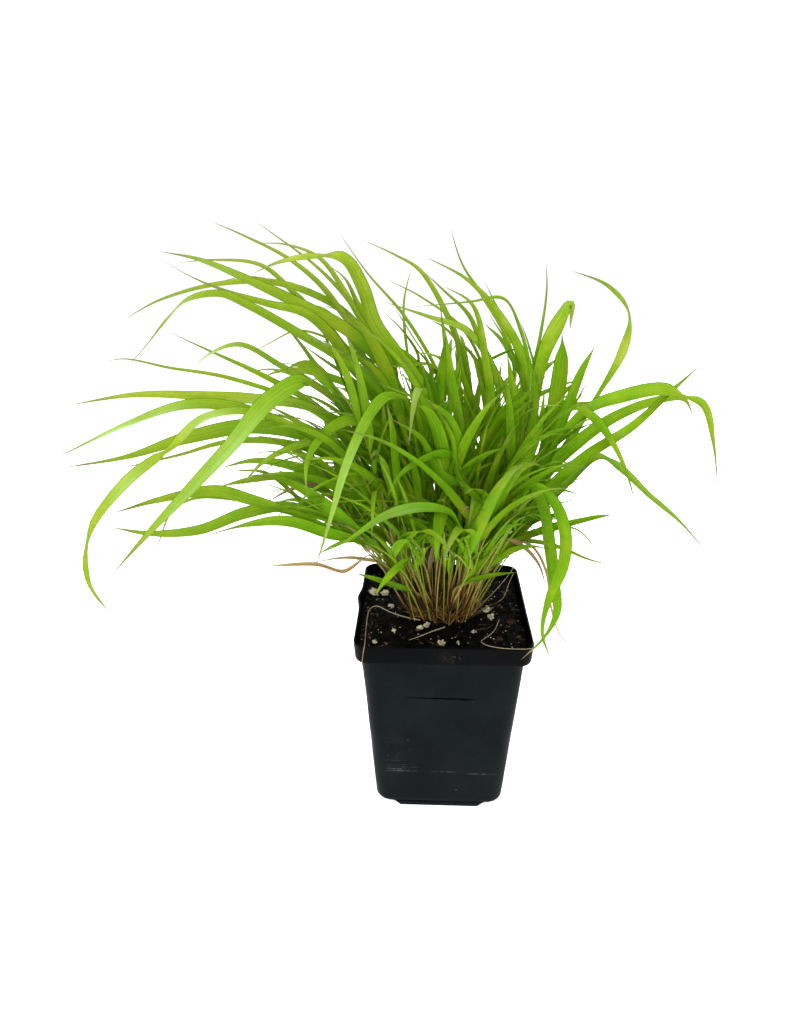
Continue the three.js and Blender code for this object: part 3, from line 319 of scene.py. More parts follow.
class RandomStream:
    """The same run of numbers in 0 to 1 for the same seed as the solids use."""

    def __init__(self, seed):
        self.state = seed & 0xFFFFFFFF

    def __call__(self):
        self.state = (self.state + 0x6D2B79F5) & 0xFFFFFFFF
        t = self.state
        t = ((t ^ (t >> 15)) * (t | 1)) & 0xFFFFFFFF
        t ^= (t + (((t ^ (t >> 7)) * (t | 61)) & 0xFFFFFFFF)) & 0xFFFFFFFF
        return ((t ^ (t >> 14)) & 0xFFFFFFFF) / 4294967296

    def between(self, low, high):
        return lerp(low, high, self())


# ---- the sheet
TO_AIM = unit(SHEET.aim - SHEET.eye)
TO_RIGHT = unit(np.cross(TO_AIM, UP))
TO_TOP = np.cross(TO_RIGHT, TO_AIM)


def sight_line(u, v):
    across = (u - SHEET.middle[0]) / SHEET.focal
    upwards = (SHEET.middle[1] - v) / SHEET.focal
    return TO_AIM + TO_RIGHT * across + TO_TOP * upwards


def at_depth(u, v, depth):
    line = sight_line(u, v)
    return SHEET.eye + line * (depth - SHEET.eye[1]) / line[1]


def at_height(u, v, height):
    line = sight_line(u, v)
    return SHEET.eye + line * (height - SHEET.eye[2]) / line[2]


def to_sheet(point):
    line = point - SHEET.eye
    away = line @ TO_AIM
    u = SHEET.middle[0] + SHEET.focal * (line @ TO_RIGHT) / away
    return u, SHEET.middle[1] - SHEET.focal * (line @ TO_TOP) / away


def in_thicket(point):
    u, v = to_sheet(point)
    inside = False
    for i, (u1, v1) in enumerate(THICKET):
        u2, v2 = THICKET[i - 1]
        if (v1 > v) != (v2 > v) and u < (u2 - u1) * (v - v1) / (v2 - v1) + u1:
            inside = not inside
    return inside


# ---- paths
def directions(points):
    points = np.asarray(points)
    padded = np.vstack((points[:1], points, points[-1:]))
    return units(padded[2:] - padded[:-2])


def curve_points(guide, parts):
    """Points of the centripetal Catmull-Rom curve through guide at each part of its length."""
    guide = [np.asarray(point, float) for point in guide]
    guide = [2 * guide[0] - guide[1], *guide, 2 * guide[-1] - guide[-2]]
    spans = len(guide) - 3
    points = []
    for part in parts:
        span = min(int(part * spans), spans - 1)
        t = part * spans - span
        p0, p1, p2, p3 = guide[span:span + 4]
        d0, d1, d2 = (max(np.sum((b - a) ** 2), 1e-12) ** 0.25 for a, b in ((p0, p1), (p1, p2), (p2, p3)))
        start = ((p1 - p0) / d0 - (p2 - p0) / (d0 + d1) + (p2 - p1) / d1) * d1
        end = ((p2 - p1) / d1 - (p3 - p1) / (d1 + d2) + (p3 - p2) / d2) * d1
        cubic = 2 * p1 - 2 * p2 + start + end
        square = -3 * p1 + 3 * p2 - 2 * start - end
        points.append(p1 + t * (start + t * (square + t * cubic)))
    return np.array(points)


class CulmPath:
    """A culm stands upright in its hole, then leans out to where its end leaf begins."""

    def __init__(self, root, end, leaf_start):
        self.foot = np.array((root[0], root[1], SOIL.level + SOIL.mound + CULM.upright))
        self.end = end
        length = norm(end - self.foot)
        rising = lerp(self.foot, end, CULM.rise) + UP * length * CULM.lift
        arriving = end + unit(end - leaf_start) * length * CULM.ease
        self.marks = (self.foot, rising, arriving, end)

    def at(self, t):
        a, b, c, d = self.marks
        s = 1 - t
        return s ** 3 * a + 3 * s * s * t * b + 3 * s * t * t * c + t ** 3 * d

    def ahead(self, t):
        return unit(self.at(min(t + 1e-4, 1)) - self.at(max(t - 1e-4, 0)))

    def faceted(self, t):
        """The middle of the solid culm, which is straight between its rings."""
        step = int(t * CULM.steps)
        low, high = (self.at((step + i) / CULM.steps) for i in (0, 1))
        return lerp(low, high, t * CULM.steps - step)


def tube_marks(points, radii):
    """The corners of a three-sided tube along points, as the solids have them."""
    marks = []
    for point, ahead, radius in zip(points, directions(points), radii):
        side = unit(np.cross(ahead, TUBE_SIDE))
        up = np.cross(ahead, side)
        for degrees in (0, 120, 240):
            turn = math.radians(degrees)
            marks.append(point + side * radius * math.cos(turn) + up * radius * math.sin(turn))
    return marks


def culm_marks(path, shoot=False):
    parts = [i / CULM.steps for i in range(CULM.steps + 1)]
    points = [path.at(part) for part in parts]
    if shoot:
        return tube_marks(points, [BLADE.foot_half] + [CULM.shoot_radius] * CULM.steps)[3:]
    below = path.foot.copy()
    below[2] = SOIL.level + SOIL.mound - CULM.sunk
    radii = [CULM.radius] + [lerp(CULM.radius, CULM.tip_radius, part) for part in parts]
    return tube_marks([below, *points], radii)


# ---- leaves as the solids have them
def sheet_leaf(index, order):
    depth, rows = STEMS[index]
    seen, tip_depth, *path = rows[order]
    marks = list(zip(path[::2], path[1::2]))[::-1]
    u, v = marks[int(len(marks) * BLADE.widest)]
    away = (at_depth(u, v, lerp(depth, tip_depth, BLADE.widest)) - SHEET.eye) @ TO_AIM
    seen_width = seen * away / SHEET.focal
    width = min(max(seen_width * BLADE.unseen + BLADE.margin, BLADE.narrow), BLADE.broad)
    widest = BLADE.widest if order else FULLEST.get(index + 1, BLADE.widest)
    return {
        "width": width, "seen_part": min(1, seen_width / width), "widest": widest,
        "tip_depth": tip_depth, "marks": marks,
    }


def sheet_guide(leaf, start, shift):
    reach = [0]
    u, v = to_sheet(start)
    for next_u, next_v in leaf["marks"]:
        reach.append(reach[-1] + math.hypot(next_u - u, next_v - v))
        u, v = next_u, next_v
    near = 1 if len(leaf["marks"]) > 2 and reach[1] < BLADE.near else 0
    guide = [start]
    for i, (u, v) in enumerate(leaf["marks"][near:]):
        part = reach[i + near + 1] / reach[-1]
        guide.append(at_depth(u, v, start[1] + (leaf["tip_depth"] + shift - start[1]) * part))
    return guide


def side_start(path, leaf):
    best, found = math.inf, 0
    t = SIDE.lowest
    while t < SIDE.highest:
        u, v = to_sheet(path.at(t))
        distance = math.hypot(u - leaf["marks"][0][0], v - leaf["marks"][0][1])
        if distance < best:
            best, found = distance, t
        t += SIDE.step
    return found


def rule_leaf(random, heading, climb, rule):
    length = random.between(rule.shortest, rule.longest)
    return {
        "length": length, "heading": heading, "climb": climb,
        "width": random.between(rule.slim, rule.wide),
        "roll": math.radians(rule.roll) * random.between(-1, 1),
        "droop": math.radians(rule.droop) * random.between(rule.least_droop, rule.most_droop),
    }


def rule_guide(leaf, start, turn, count):
    heading = leaf["heading"] + math.radians(turn)
    guide = [start]
    for i in range(1, count + 1):
        part = (i - 0.5) / count
        slope = leaf["climb"] - leaf["droop"] * part * (BLADE.early_droop + part)
        step = leaf["length"] / count
        way = (math.cos(slope) * math.cos(heading), math.cos(slope) * math.sin(heading), math.sin(slope))
        guide.append(guide[-1] + np.array(way) * step)
    return guide


def blade_steps(guide):
    spans = np.diff(np.asarray(guide), axis=0)
    lengths = norm(spans, axis=1)
    turning = 0
    for i in range(1, len(spans)):
        cosine = spans[i] @ spans[i - 1] / (lengths[i] * lengths[i - 1])
        turning += math.acos(min(1, max(-1, cosine)))
    steps = math.floor(BLADE.first_steps + lengths.sum() / BLADE.step + turning / BLADE.turn_per_step)
    return min(max(steps, BLADE.fewest), BLADE.most)


def blade_sides(points, leaf):
    """The blade's sideways direction at each point, as the solids have it."""
    ahead = directions(points)
    cosine = leaf.get("seen_part") or math.cos(leaf["roll"])
    choices = []
    for sign in (1, -1):
        if "seen_part" in leaf:
            across = np.cross(ahead, points - SHEET.eye)
            sine = sign * math.sqrt(1 - cosine * cosine)
        else:
            across = np.cross(UP, ahead)
            sine = sign * math.sin(leaf["roll"])
        across = units(across)
        choices.append(across * cosine + np.cross(ahead, across) * sine)
    lifts = [np.cross(ahead, side)[:, 2].sum() for side in choices]
    return choices[0] if lifts[0] >= lifts[1] else choices[1]


def blade_half(leaf, s):
    half, widest = leaf["width"] / 2, leaf.get("widest", BLADE.widest)
    if s < widest:
        rise = s / widest
        return BLADE.foot_half + (half - BLADE.foot_half) * rise * (2 - rise)
    return half * (1 - ((s - widest) / (1 - widest)) ** BLADE.tip_power)


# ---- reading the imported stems
class PackedNode:
    """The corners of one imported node, to tell where its culm, shoot and leaves came to stand."""

    def __init__(self, name):
        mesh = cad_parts[name].data
        corners = np.zeros(len(mesh.vertices) * 3)
        mesh.vertices.foreach_get("co", corners)
        self.corners = corners.reshape(-1, 3) / MM
        self.tree = kdtree.KDTree(len(self.corners))
        for i, corner in enumerate(self.corners):
            self.tree.insert(corner, i)
        self.tree.balance()

    def has(self, point):
        return self.tree.find(point)[2] < SAME_PLACE

    def root(self):
        """The middle of the culm's lowest ring, under the soil."""
        low = SOIL.level + SOIL.mound - CULM.sunk
        far = np.hypot(self.corners[:, 0] - CROWN.x, self.corners[:, 1] - CROWN.y)
        ring = self.corners[(abs(self.corners[:, 2] - low) < SAME_PLACE) & (far < CROWN.radius + 2)]
        return np.unique(ring.round(2), axis=0).mean(0)

    def best(self, options, marks_of):
        """The option with most of its corners in the node, or None where fewer than three are."""
        found, most = None, 2
        for option in options:
            hits = sum(self.has(mark) for mark in marks_of(option))
            if hits > most:
                found, most = option, hits
        return found


def leaf_on(node, leaf, guides):
    """The leaf with the first of its guides whose tip is in the node."""
    for guide in guides:
        if node.has(guide[-1]):
            return {**leaf, "guide": guide}
    return None


def sheet_leaf_on(node, path, leaf, t):
    start = path.faceted(t)
    return leaf_on(node, leaf, (sheet_guide(leaf, start, shift) for shift in SHIFTS))


def rule_leaf_on(node, path, random, t):
    ahead = path.ahead(t)
    climb = math.asin(ahead[2]) - EXTRA.lift
    leaf = rule_leaf(random, math.atan2(ahead[1], ahead[0]), climb, EXTRA)
    start = path.faceted(t)
    guides = (rule_guide(leaf, start, turn, EXTRA.points) for turn in EXTRA.turns)
    return leaf_on(node, leaf, guides)


def stem_ends(index):
    """Where the stem may end and its end leaf may go, for each shift in depth."""
    if index < len(STEMS):
        end, after = sheet_leaf(index, 0)["marks"][:2]
        depths = [STEMS[index][0] + shift for shift in SHIFTS]
        return [(at_depth(*end, depth), at_depth(*after, depth)) for depth in depths]
    heading, reach, top = HIDDEN_STEMS[index - len(STEMS)]
    out = turned_about_up((1, 0, 0), heading)
    middle = np.array((CROWN.x, CROWN.y, top))
    ends = [middle + out * (reach + shift / 2) for shift in SHIFTS]
    return [(end, end + out * HIDDEN_LEAF_OUT) for end in ends]


def read_stem(index):
    """The stem's culm and shoot paths and its leaves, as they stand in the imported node."""
    name = f"leafy_stem_{index + 1:02d}"
    node = PackedNode(name)
    root = node.root()
    paths = [CulmPath(root, *ends) for ends in stem_ends(index)]
    culm = node.best(paths, culm_marks)
    if culm is None:
        raise RuntimeError(f"{name}: its culm isn't where the layout puts it")
    rows = STEMS[index][1] if index < len(STEMS) else []
    leaves = []
    for order in range(len(rows)):
        leaf = sheet_leaf(index, order)
        t = side_start(culm, leaf) if order else CULM.leaf_at
        leaves.append(sheet_leaf_on(node, culm, leaf, t))
    if None in leaves:
        raise RuntimeError(f"{name}: a leaf isn't where the layout puts it")
    random = RandomStream(EXTRA.seed + index)
    reach = (culm.end - culm.foot) * random.between(SHOOT.shortest, SHOOT.longest)
    shoots = []
    for turn in SHOOT.turns:
        end = culm.foot + turned_about_up(reach, turn)
        flat = (end - culm.foot) * (1, 1, 0)
        shoots.append(CulmPath(root, end, end + unit(flat) * SHOOT.leaf_out))
    shoot = node.best(shoots, lambda path: culm_marks(path, shoot=True))
    for t in SHOOT.leaves_at if shoot else ():
        leaves.append(rule_leaf_on(node, shoot, random, t))
    for _ in range(EXTRA.per_stem if rows else EXTRA.per_hidden_stem):
        t = random.between(EXTRA.lowest, EXTRA.highest)
        leaves.append(rule_leaf_on(node, culm, random, t))
    return {
        "name": name, "index": index, "culm": culm, "shoot": shoot,
        "dry": index + 1 in DRY_STEMS,
        "leaves": [leaf for leaf in leaves if leaf],
    }


# ---- node trees
class Nodes:
    """Adds nodes to one tree. Inputs are given by name or number, as values or as sockets to link.
    A kind is a shader node's, unless it says Node itself."""

    def __init__(self, tree):
        self.tree = tree

    def add(self, kind, inputs=(), **settings):
        node = self.tree.nodes.new(kind if "Node" in kind else f"ShaderNode{kind}")
        for name, value in settings.items():
            setattr(node, name, value)
        for key, value in dict(inputs).items():
            if isinstance(value, bpy.types.NodeSocket):
                self.tree.links.new(value, node.inputs[key])
            else:
                node.inputs[key].default_value = (*value, 1) if isinstance(value, Color) else value
        return node

    def first(self, kind, inputs=(), **settings):
        """The first output of a new node."""
        return self.add(kind, inputs, **settings).outputs[0]

    def shape(self, kind, inputs=(), **settings):
        """The first output of a new geometry node."""
        return self.first(f"GeometryNode{kind}", inputs, **settings)

    def math(self, operation, *values, clamp=False):
        return self.first("Math", enumerate(values), operation=operation, use_clamp=clamp)

    def times(self, value, factor):
        return self.math("MULTIPLY", value, factor)

    def weighed(self, value, weight, more, clamp=False):
        """A value times its weight, and more added to it."""
        return self.math("MULTIPLY_ADD", value, weight, more, clamp=clamp)

    def centred(self, value):
        """Shifts a value of 0 to 1 so that its middle is 0."""
        return self.math("SUBTRACT", value, 0.5)

    def vector(self, operation, *values):
        node = self.add("VectorMath", enumerate(values), operation=operation)
        return node.outputs["Value" if operation == "LENGTH" else "Vector"]

    def scaled(self, vector, by):
        return self.first("VectorMath", {0: vector, "Scale": by}, operation="SCALE")

    def joined(self, x=0.0, y=0.0, z=0.0):
        return self.first("CombineXYZ", {0: x, 1: y, 2: z})

    def split(self, vector):
        return self.add("SeparateXYZ", {0: vector}).outputs

    def mixed(self, factor, low, high):
        return self.first("Mix", {0: factor, 2: low, 3: high}, data_type="FLOAT")

    def layered(self, colour, *layers):
        """Lays colours over a first one. A layer is how much it covers, and its colour."""
        for cover, over in layers:
            colour = self.add("Mix", {0: cover, 6: colour, 7: over}, data_type="RGBA").outputs[2]
        return colour

    def ranged(self, value, low, high, to_low=0.0, to_high=1.0):
        """Carries a value smoothly from one range to another."""
        inputs = enumerate((value, low, high, to_low, to_high))
        return self.first("MapRange", inputs, interpolation_type="SMOOTHSTEP")

    def noise(self, vector, name, scale=1.0):
        own_scale, detail, roughness = NOISES[name]
        inputs = {"Vector": vector, "Scale": own_scale * scale, "Detail": detail, "Roughness": roughness}
        return self.first("TexNoise", inputs)

    def blots(self, vector, name, to_low=0.0, to_high=1.0):
        return self.ranged(self.noise(vector, name), *BLOTS[name], to_low, to_high)

    def place(self):
        return self.add("TexCoord").outputs["Object"]

    def carried(self, name):
        """A value that the mesh's own points carry."""
        return self.add("Attribute", attribute_name=name).outputs["Fac"]

    def ramp(self, factor, stops):
        node = self.add("ValToRGB", {0: factor})
        elements = node.color_ramp.elements
        while len(elements) < len(stops):
            elements.new(1)
        for element, (at, colour) in zip(elements, stops):
            element.position = at
            element.color = (*colour, 1)
        return node.outputs["Color"]

    def group(self, effect, **inputs):
        """Places a shared effect. An input's label is its keyword with a capital letter."""
        values = {name.capitalize(): value for name, value in inputs.items()}
        return self.add("Group", values, node_tree=shared_effect(effect)).outputs

    def bumped(self, height, distance, strength=0.6):
        """What a height gives to a surface, with the height of 1 in metres."""
        inputs = {"Height": height, "Distance": distance, "Strength": strength}
        return {"Normal": self.first("Bump", inputs)}

    def surface(self, colour, roughness, shine, others):
        inputs = {"Base Color": colour, "Roughness": roughness, "Specular IOR Level": shine, **others}
        return self.first("BsdfPrincipled", inputs)

    def joined_shapes(self, parts):
        node = self.add("GeometryNodeJoinGeometry")
        for part in reversed(parts):
            self.tree.links.new(part, node.inputs[0])
        return node.outputs[0]

    def painted(self, shape, finish, selection=True):
        return self.shape("SetMaterial", {"Geometry": shape, "Selection": selection, "Material": finish})


def new_tree(name, kind, inputs, outputs):
    """A node tree with named sockets. An input is given by its default number or by its type.
    Returns the tree's nodes and what its Group Input hands on."""
    tree = bpy.data.node_groups.new(name, kind)
    for label, given in inputs.items():
        socket = given if isinstance(given, str) else "Float"
        item = tree.interface.new_socket(name=label, in_out="INPUT", socket_type=f"NodeSocket{socket}")
        if socket == "Float":
            item.default_value = given
    for label, socket in outputs.items():
        tree.interface.new_socket(name=label, in_out="OUTPUT", socket_type=f"NodeSocket{socket}")
    nodes = Nodes(tree)
    return nodes, nodes.add("NodeGroupInput").outputs


def cleared_nodes(owner):
    owner.use_nodes = True
    owner.node_tree.nodes.clear()
    return Nodes(owner.node_tree)


def new_material(name, surface_of, *looks, **choices):
    """A material whose surface is what surface_of builds with its nodes."""
    material = bpy.data.materials.new(name)
    nodes = cleared_nodes(material)
    nodes.add("OutputMaterial", {"Surface": surface_of(nodes, *looks, **choices)})
    return material


# ---- shared effects
# Noises by what they make: scale, for places in metres, then detail and roughness.
NOISES = {
    "vein streaks": (1.6, 3.0, 0.6), "ragged edge": (260.0, 3.0, 0.65), "leaf mottle": (80.0, 5.0, 0.7),
    "stalk mottle": (160.0, 3.0, 0.6), "pot dust": (14.0, 2.0, 0.5), "pot cloud": (26.0, 5.0, 0.6),
    "pot grain": (900.0, 3.0, 0.6), "pot ripples": (1.0, 2.0, 0.5), "coarse mix": (1.0, 5.0, 0.65),
    "fine mix": (4.5, 4.0, 0.7), "floor": (3.0, 2.0, 0.5), "spots": (120.0, 4.0, 0.6),
    "haze": (38.0, 4.0, 0.65), "specks": (620.0, 2.0, 0.6), "blotches": (150.0, 5.0, 0.7),
    "scratches": (1.0, 2.0, 0.5), "scratched": (55.0, 1.0, 0.5), "yellowing": (34.0, 4.0, 0.65),
    "broken lines": (240.0, 3.0, 0.7), "grain": (1.3, 2.0, 0.5),
}
# Blots: the two values of a noise between which its blots fade in.
BLOTS = {
    "spots": (0.66, 0.74), "haze": (0.45, 0.8), "specks": (0.66, 0.74), "blotches": (0.5, 0.68),
    "scratches": (0.72, 0.76), "scratched": (0.56, 0.66), "yellowing": (0.5, 0.7),
    "broken lines": (0.44, 0.6),
}
VEINS = Values(
    line_turns=3.14159, fine_turns=11.0, line_power=3.0, line_height=0.6, fine_height=0.12,
    midrib=(0.1, 0.02),
)
STREAK_STRETCH = {"Across": 4.5, "Along": 2.2, "Place": 37.0}
DRYING = Values(raggedness=0.7, dry=(0.34, 0.62))
SCUFFS = Values(
    most_haze=0.25, specks_at=(0.0, 0.6), blotches_at=(0.35, 1.0), stretch=(60.0, 60.0, 900.0),
)


def parallel_veins():
    """Fine lines that run the length of a blade, a raised midrib and streaks between them."""
    inputs = {"Across": 0.0, "Along": 0.0, "Place": 0.0, "Lines": 8.0}
    outputs = {"Lines": "Float", "Midrib": "Float", "Streaks": "Float", "Height": "Float"}
    nodes, given = new_tree("Parallel veins", "ShaderNodeTree", inputs, outputs)

    def waves(turns):
        return nodes.math("COSINE", nodes.times(given["Across"], nodes.times(given["Lines"], turns)))

    lines = nodes.math("POWER", nodes.weighed(waves(VEINS.line_turns), 0.5, 0.5), VEINS.line_power)
    midrib = nodes.ranged(nodes.math("ABSOLUTE", given["Across"]), *VEINS.midrib)
    drawn = [nodes.times(given[label], stretch) for label, stretch in STREAK_STRETCH.items()]
    streaks = nodes.noise(nodes.joined(*drawn), "vein streaks")
    ridges = nodes.times(lines, VEINS.line_height)
    height = nodes.weighed(waves(VEINS.fine_turns), VEINS.fine_height, ridges)
    height = nodes.math("ADD", height, midrib)
    nodes.add("NodeGroupOutput", {"Lines": lines, "Midrib": midrib, "Streaks": streaks, "Height": height})
    return nodes.tree


def dry_patches():
    """Where green tissue has turned brown: spots anywhere, and a ragged edge round what is dry."""
    inputs = {"Vector": "Vector", "Dryness": 0.0, "Spots": 0.5}
    outputs = {"Dry": "Float", "Spots": "Float"}
    nodes, given = new_tree("Dry patches", "ShaderNodeTree", inputs, outputs)
    ragged = nodes.centred(nodes.noise(given["Vector"], "ragged edge"))
    dry = nodes.ranged(nodes.weighed(ragged, DRYING.raggedness, given["Dryness"]), *DRYING.dry)
    spots = nodes.times(nodes.blots(given["Vector"], "spots"), given["Spots"])
    nodes.add("NodeGroupOutput", {"Dry": dry, "Spots": spots})
    return nodes.tree


def scuffs():
    """Dust and rubbed places on plastic: loose specks, short fine scratches and a low haze."""
    outputs = {"Dust": "Float", "Scratches": "Float"}
    nodes, given = new_tree("Dust and scuffs", "ShaderNodeTree", {"Vector": "Vector", "Amount": 0.5}, outputs)
    place, amount = given["Vector"], given["Amount"]
    haze = nodes.times(nodes.blots(place, "haze", 0.0, SCUFFS.most_haze), amount)
    specks = nodes.times(nodes.blots(place, "specks"), nodes.ranged(amount, *SCUFFS.specks_at))
    blotches = nodes.times(nodes.blots(place, "blotches"), nodes.ranged(amount, *SCUFFS.blotches_at))
    dust = nodes.math("ADD", nodes.math("MAXIMUM", specks, blotches), haze, clamp=True)
    drawn = nodes.vector("MULTIPLY", place, SCUFFS.stretch)
    scratches = nodes.times(nodes.blots(drawn, "scratches"), nodes.blots(place, "scratched"))
    nodes.add("NodeGroupOutput", {"Dust": dust, "Scratches": scratches})
    return nodes.tree


EFFECTS = {"veins": parallel_veins, "patches": dry_patches, "scuffs": scuffs}
BUILT_EFFECTS = {}


def shared_effect(name):
    """A node group that several materials may use, built once."""
    if name not in BUILT_EFFECTS:
        BUILT_EFFECTS[name] = EFFECTS[name]()
    return BUILT_EFFECTS[name]


# ---- materials
# Strengths of each look. Four numbers carry the first two to the last two.
LEAF = Values(
    mottle=1.7, streaks=1.5, lines=0.18, midrib=0.16, underside=(-0.3, 0.3, 0.45, 1.0),
    margin=(0.78, 0.98, 0.0, 0.5), dry_stops=(0.3, 0.62), roughness=(-0.3, 0.3, 0.38, 0.52),
    dry_roughness=0.75,
)
STALK = Values(mottle=0.35, streaks=0.5, lines=0.12, roughness=(0.0, 1.0, 0.45, 0.75))
PLASTIC = Values(
    scratches=0.1, line_breaks=(0.12, 0.9), rim_edge=0.3, cloud=(0.35, 0.75, 0.0, 0.45), rim_haze=0.15,
    dust=0.8, ripple_stretch=(150.0, 150.0, 22.0), grain=0.25, wall_ripples=0.35, scratch_depth=0.4,
    roughness=(0.3, 0.7, 0.4, 0.58), dusty_roughness=0.85, mark_core=0.35,
)
PEAT = Values(fineness=0.8, first_stop=0.34, stops=0.34, smoother=0.15)
FLOOR_SHADE = 0.985


def leaf_surface(nodes, look, dead=False):
    """Green blades lit from both sides. Each blade's points carry how bright, pale or dry it is, and part of
    that brightness and paleness is painted light and painted shade.
    """
    place, across, dryness = nodes.place(), nodes.carried("across"), nodes.carried("dry")
    veins = nodes.group("veins", across=across, along=nodes.carried("along"),
                        place=nodes.carried("strand"), lines=look.vein_lines)
    patches = nodes.group("patches", vector=place, dryness=dryness, spots=look.leaf_spots)
    mottle, streaks = nodes.centred(nodes.noise(place, "leaf mottle")), nodes.centred(veins["Streaks"])
    tint = nodes.weighed(streaks, LEAF.streaks, nodes.carried("tint"))
    shade = nodes.weighed(mottle, LEAF.mottle, tint, clamp=True)
    aged = nodes.blots(place, "yellowing", 0.0, look.yellowing)
    olive = nodes.times(nodes.carried("outer"), look.olive_share)
    thin = nodes.times(nodes.carried("thin"), look.washed_out)
    # Pale mint on one side of each blade's fold: partly a blade's paler underside, partly a painted sheen
    # where the fold catches the light.
    one_side = nodes.ranged(across, *LEAF.underside)
    paler = nodes.math("MULTIPLY", nodes.carried("pale"), one_side, clamp=True)
    lined = nodes.weighed(veins["Lines"], LEAF.lines, nodes.times(veins["Midrib"], LEAF.midrib))
    margin = nodes.ranged(nodes.math("ABSOLUTE", across), *LEAF.margin)
    # The tint ramp runs from deep green, partly painted shade inside the tuft, to lime green, partly painted
    # light on the lit leaves.
    green = nodes.ramp(shade, [(0.0, look.deep_green), (0.5, look.fresh_green), (1.0, look.lime_green)])
    green = nodes.layered(
        green, (aged, look.yellowed), (olive, look.olive_green), (thin, look.thin_green),
        (paler, look.pale_underside), (lined, look.lime_green), (margin, look.deep_green))
    dried = (look.dead_tan, look.bleached) if dead else (look.dead_brown, look.dead_tan)
    brown = nodes.ramp(veins["Streaks"], list(zip(LEAF.dry_stops, dried)))
    colour = nodes.layered(green, (patches["Spots"], look.dead_tan), (patches["Dry"], brown))
    roughness = nodes.ranged(mottle, *LEAF.roughness)
    roughness = nodes.mixed(patches["Dry"], roughness, LEAF.dry_roughness)
    relief = nodes.bumped(veins["Height"], distance=0.00015)
    surface = nodes.surface(colour, roughness, shine=0.025, others=relief)
    through = nodes.layered(
        look.deep_through, (shade, look.lime_through), (olive, look.olive_green), (thin, look.thin_green),
        (paler, look.pale_underside), (dryness, look.dead_tan))
    glow = nodes.first("BsdfTranslucent", {"Color": look.bleached if dead else through})
    return nodes.first("MixShader", {0: look.translucency, 1: surface, 2: glow})


def stalk_surface(nodes, look, straw):
    """Culms, sheaths and straws: olive where they live, through straw and amber to brown."""
    place, dryness = nodes.place(), nodes.carried("dry")
    veins = nodes.group("veins", across=nodes.carried("across"), along=nodes.carried("along"),
                        place=nodes.carried("strand"), lines=5.0)
    patches = nodes.group("patches", vector=place, dryness=dryness, spots=0.7)
    mottle, streaks = nodes.centred(nodes.noise(place, "stalk mottle")), nodes.centred(veins["Streaks"])
    age = nodes.weighed(streaks, STALK.streaks, dryness)
    age = nodes.weighed(mottle, STALK.mottle, age, clamp=True)
    colour = nodes.ramp(age, [
        (0.0, look.culm_green), (0.3, look.culm_olive), (0.5, straw), (0.72, look.amber_sheath),
        (0.95, look.dead_sheath)])
    lined = nodes.times(veins["Lines"], STALK.lines)
    colour = nodes.layered(colour, (lined, straw), (patches["Spots"], look.dead_sheath))
    relief = nodes.bumped(veins["Height"], distance=0.0002)
    return nodes.surface(colour, nodes.ranged(age, *STALK.roughness), shine=0.15, others=relief)


def near(nodes, place, centre, reach):
    """1 at centre and 0 past reach, given in mm along each axis."""
    away = nodes.vector("SUBTRACT", place, tuple(value * MM for value in centre))
    away = nodes.vector("DIVIDE", away, tuple(value * MM for value in reach))
    return nodes.ranged(nodes.vector("LENGTH", away), 1.0, PLASTIC.mark_core)


def pot_surface(nodes, look):
    """Black moulded plastic, dull and dusty, darker on the rim and rubbed pale where it was handled."""
    place = nodes.place()
    worn = nodes.times(look.pot_dust, nodes.noise(place, "pot dust"))
    for centre, reach, amount in POT_MARKS:
        worn = nodes.math("MAXIMUM", worn, nodes.times(near(nodes, place, centre, reach), amount))
    marks = nodes.group("scuffs", vector=place, amount=worn)
    rubbed = nodes.times(marks["Scratches"], PLASTIC.scratches)
    broken = nodes.blots(place, "broken lines", *PLASTIC.line_breaks)
    for centre, reach in POT_LINES:
        rubbed = nodes.math("MAXIMUM", rubbed, nodes.times(near(nodes, place, centre, reach), broken))
    rim_foot, edge = POT.height - POT.rim_height, PLASTIC.rim_edge
    rim = nodes.ranged(nodes.split(place)[2], (rim_foot - edge) * MM, (rim_foot + edge) * MM)
    cloudy = nodes.noise(place, "pot cloud")
    haze = nodes.times(nodes.ranged(cloudy, *PLASTIC.cloud), nodes.mixed(rim, 1.0, PLASTIC.rim_haze))
    colour = nodes.layered(
        look.pot_wall, (rim, look.pot_rim), (haze, look.pot_haze), (rubbed, look.pot_scratch),
        (nodes.times(marks["Dust"], PLASTIC.dust), look.dust))
    rippled = nodes.noise(nodes.vector("MULTIPLY", place, PLASTIC.ripple_stretch), "pot ripples")
    rippled = nodes.times(rippled, nodes.mixed(rim, PLASTIC.wall_ripples, 1.0))
    relief = nodes.weighed(nodes.noise(place, "pot grain"), PLASTIC.grain, rippled)
    relief = nodes.math("SUBTRACT", relief, nodes.times(marks["Scratches"], PLASTIC.scratch_depth))
    roughness = nodes.ranged(cloudy, *PLASTIC.roughness)
    roughness = nodes.mixed(marks["Dust"], roughness, PLASTIC.dusty_roughness)
    relief = nodes.bumped(relief, distance=0.0006, strength=0.5)
    return nodes.surface(colour, roughness, shine=0.028, others=relief)


def mix_surface(nodes, colours, scale, roughness=0.9, relief=0.001):
    """Potting mix and what lies in it: a mottle of two or three colours with a crumbly relief."""
    place = nodes.place()
    coarse, fine = nodes.noise(place, "coarse mix", scale), nodes.noise(place, "fine mix", scale)
    shade = nodes.weighed(nodes.centred(fine), PEAT.fineness, coarse, clamp=True)
    first, span, last = PEAT.first_stop, PEAT.stops, len(colours) - 1
    stops = [(first + span * i / last, colour) for i, colour in enumerate(colours)]
    roughness = nodes.ranged(fine, 0.3, 0.7, roughness - PEAT.smoother, roughness)
    relief = nodes.bumped(shade, relief, strength=0.8)
    return nodes.surface(nodes.ramp(shade, stops), roughness, shine=0.05, others=relief)


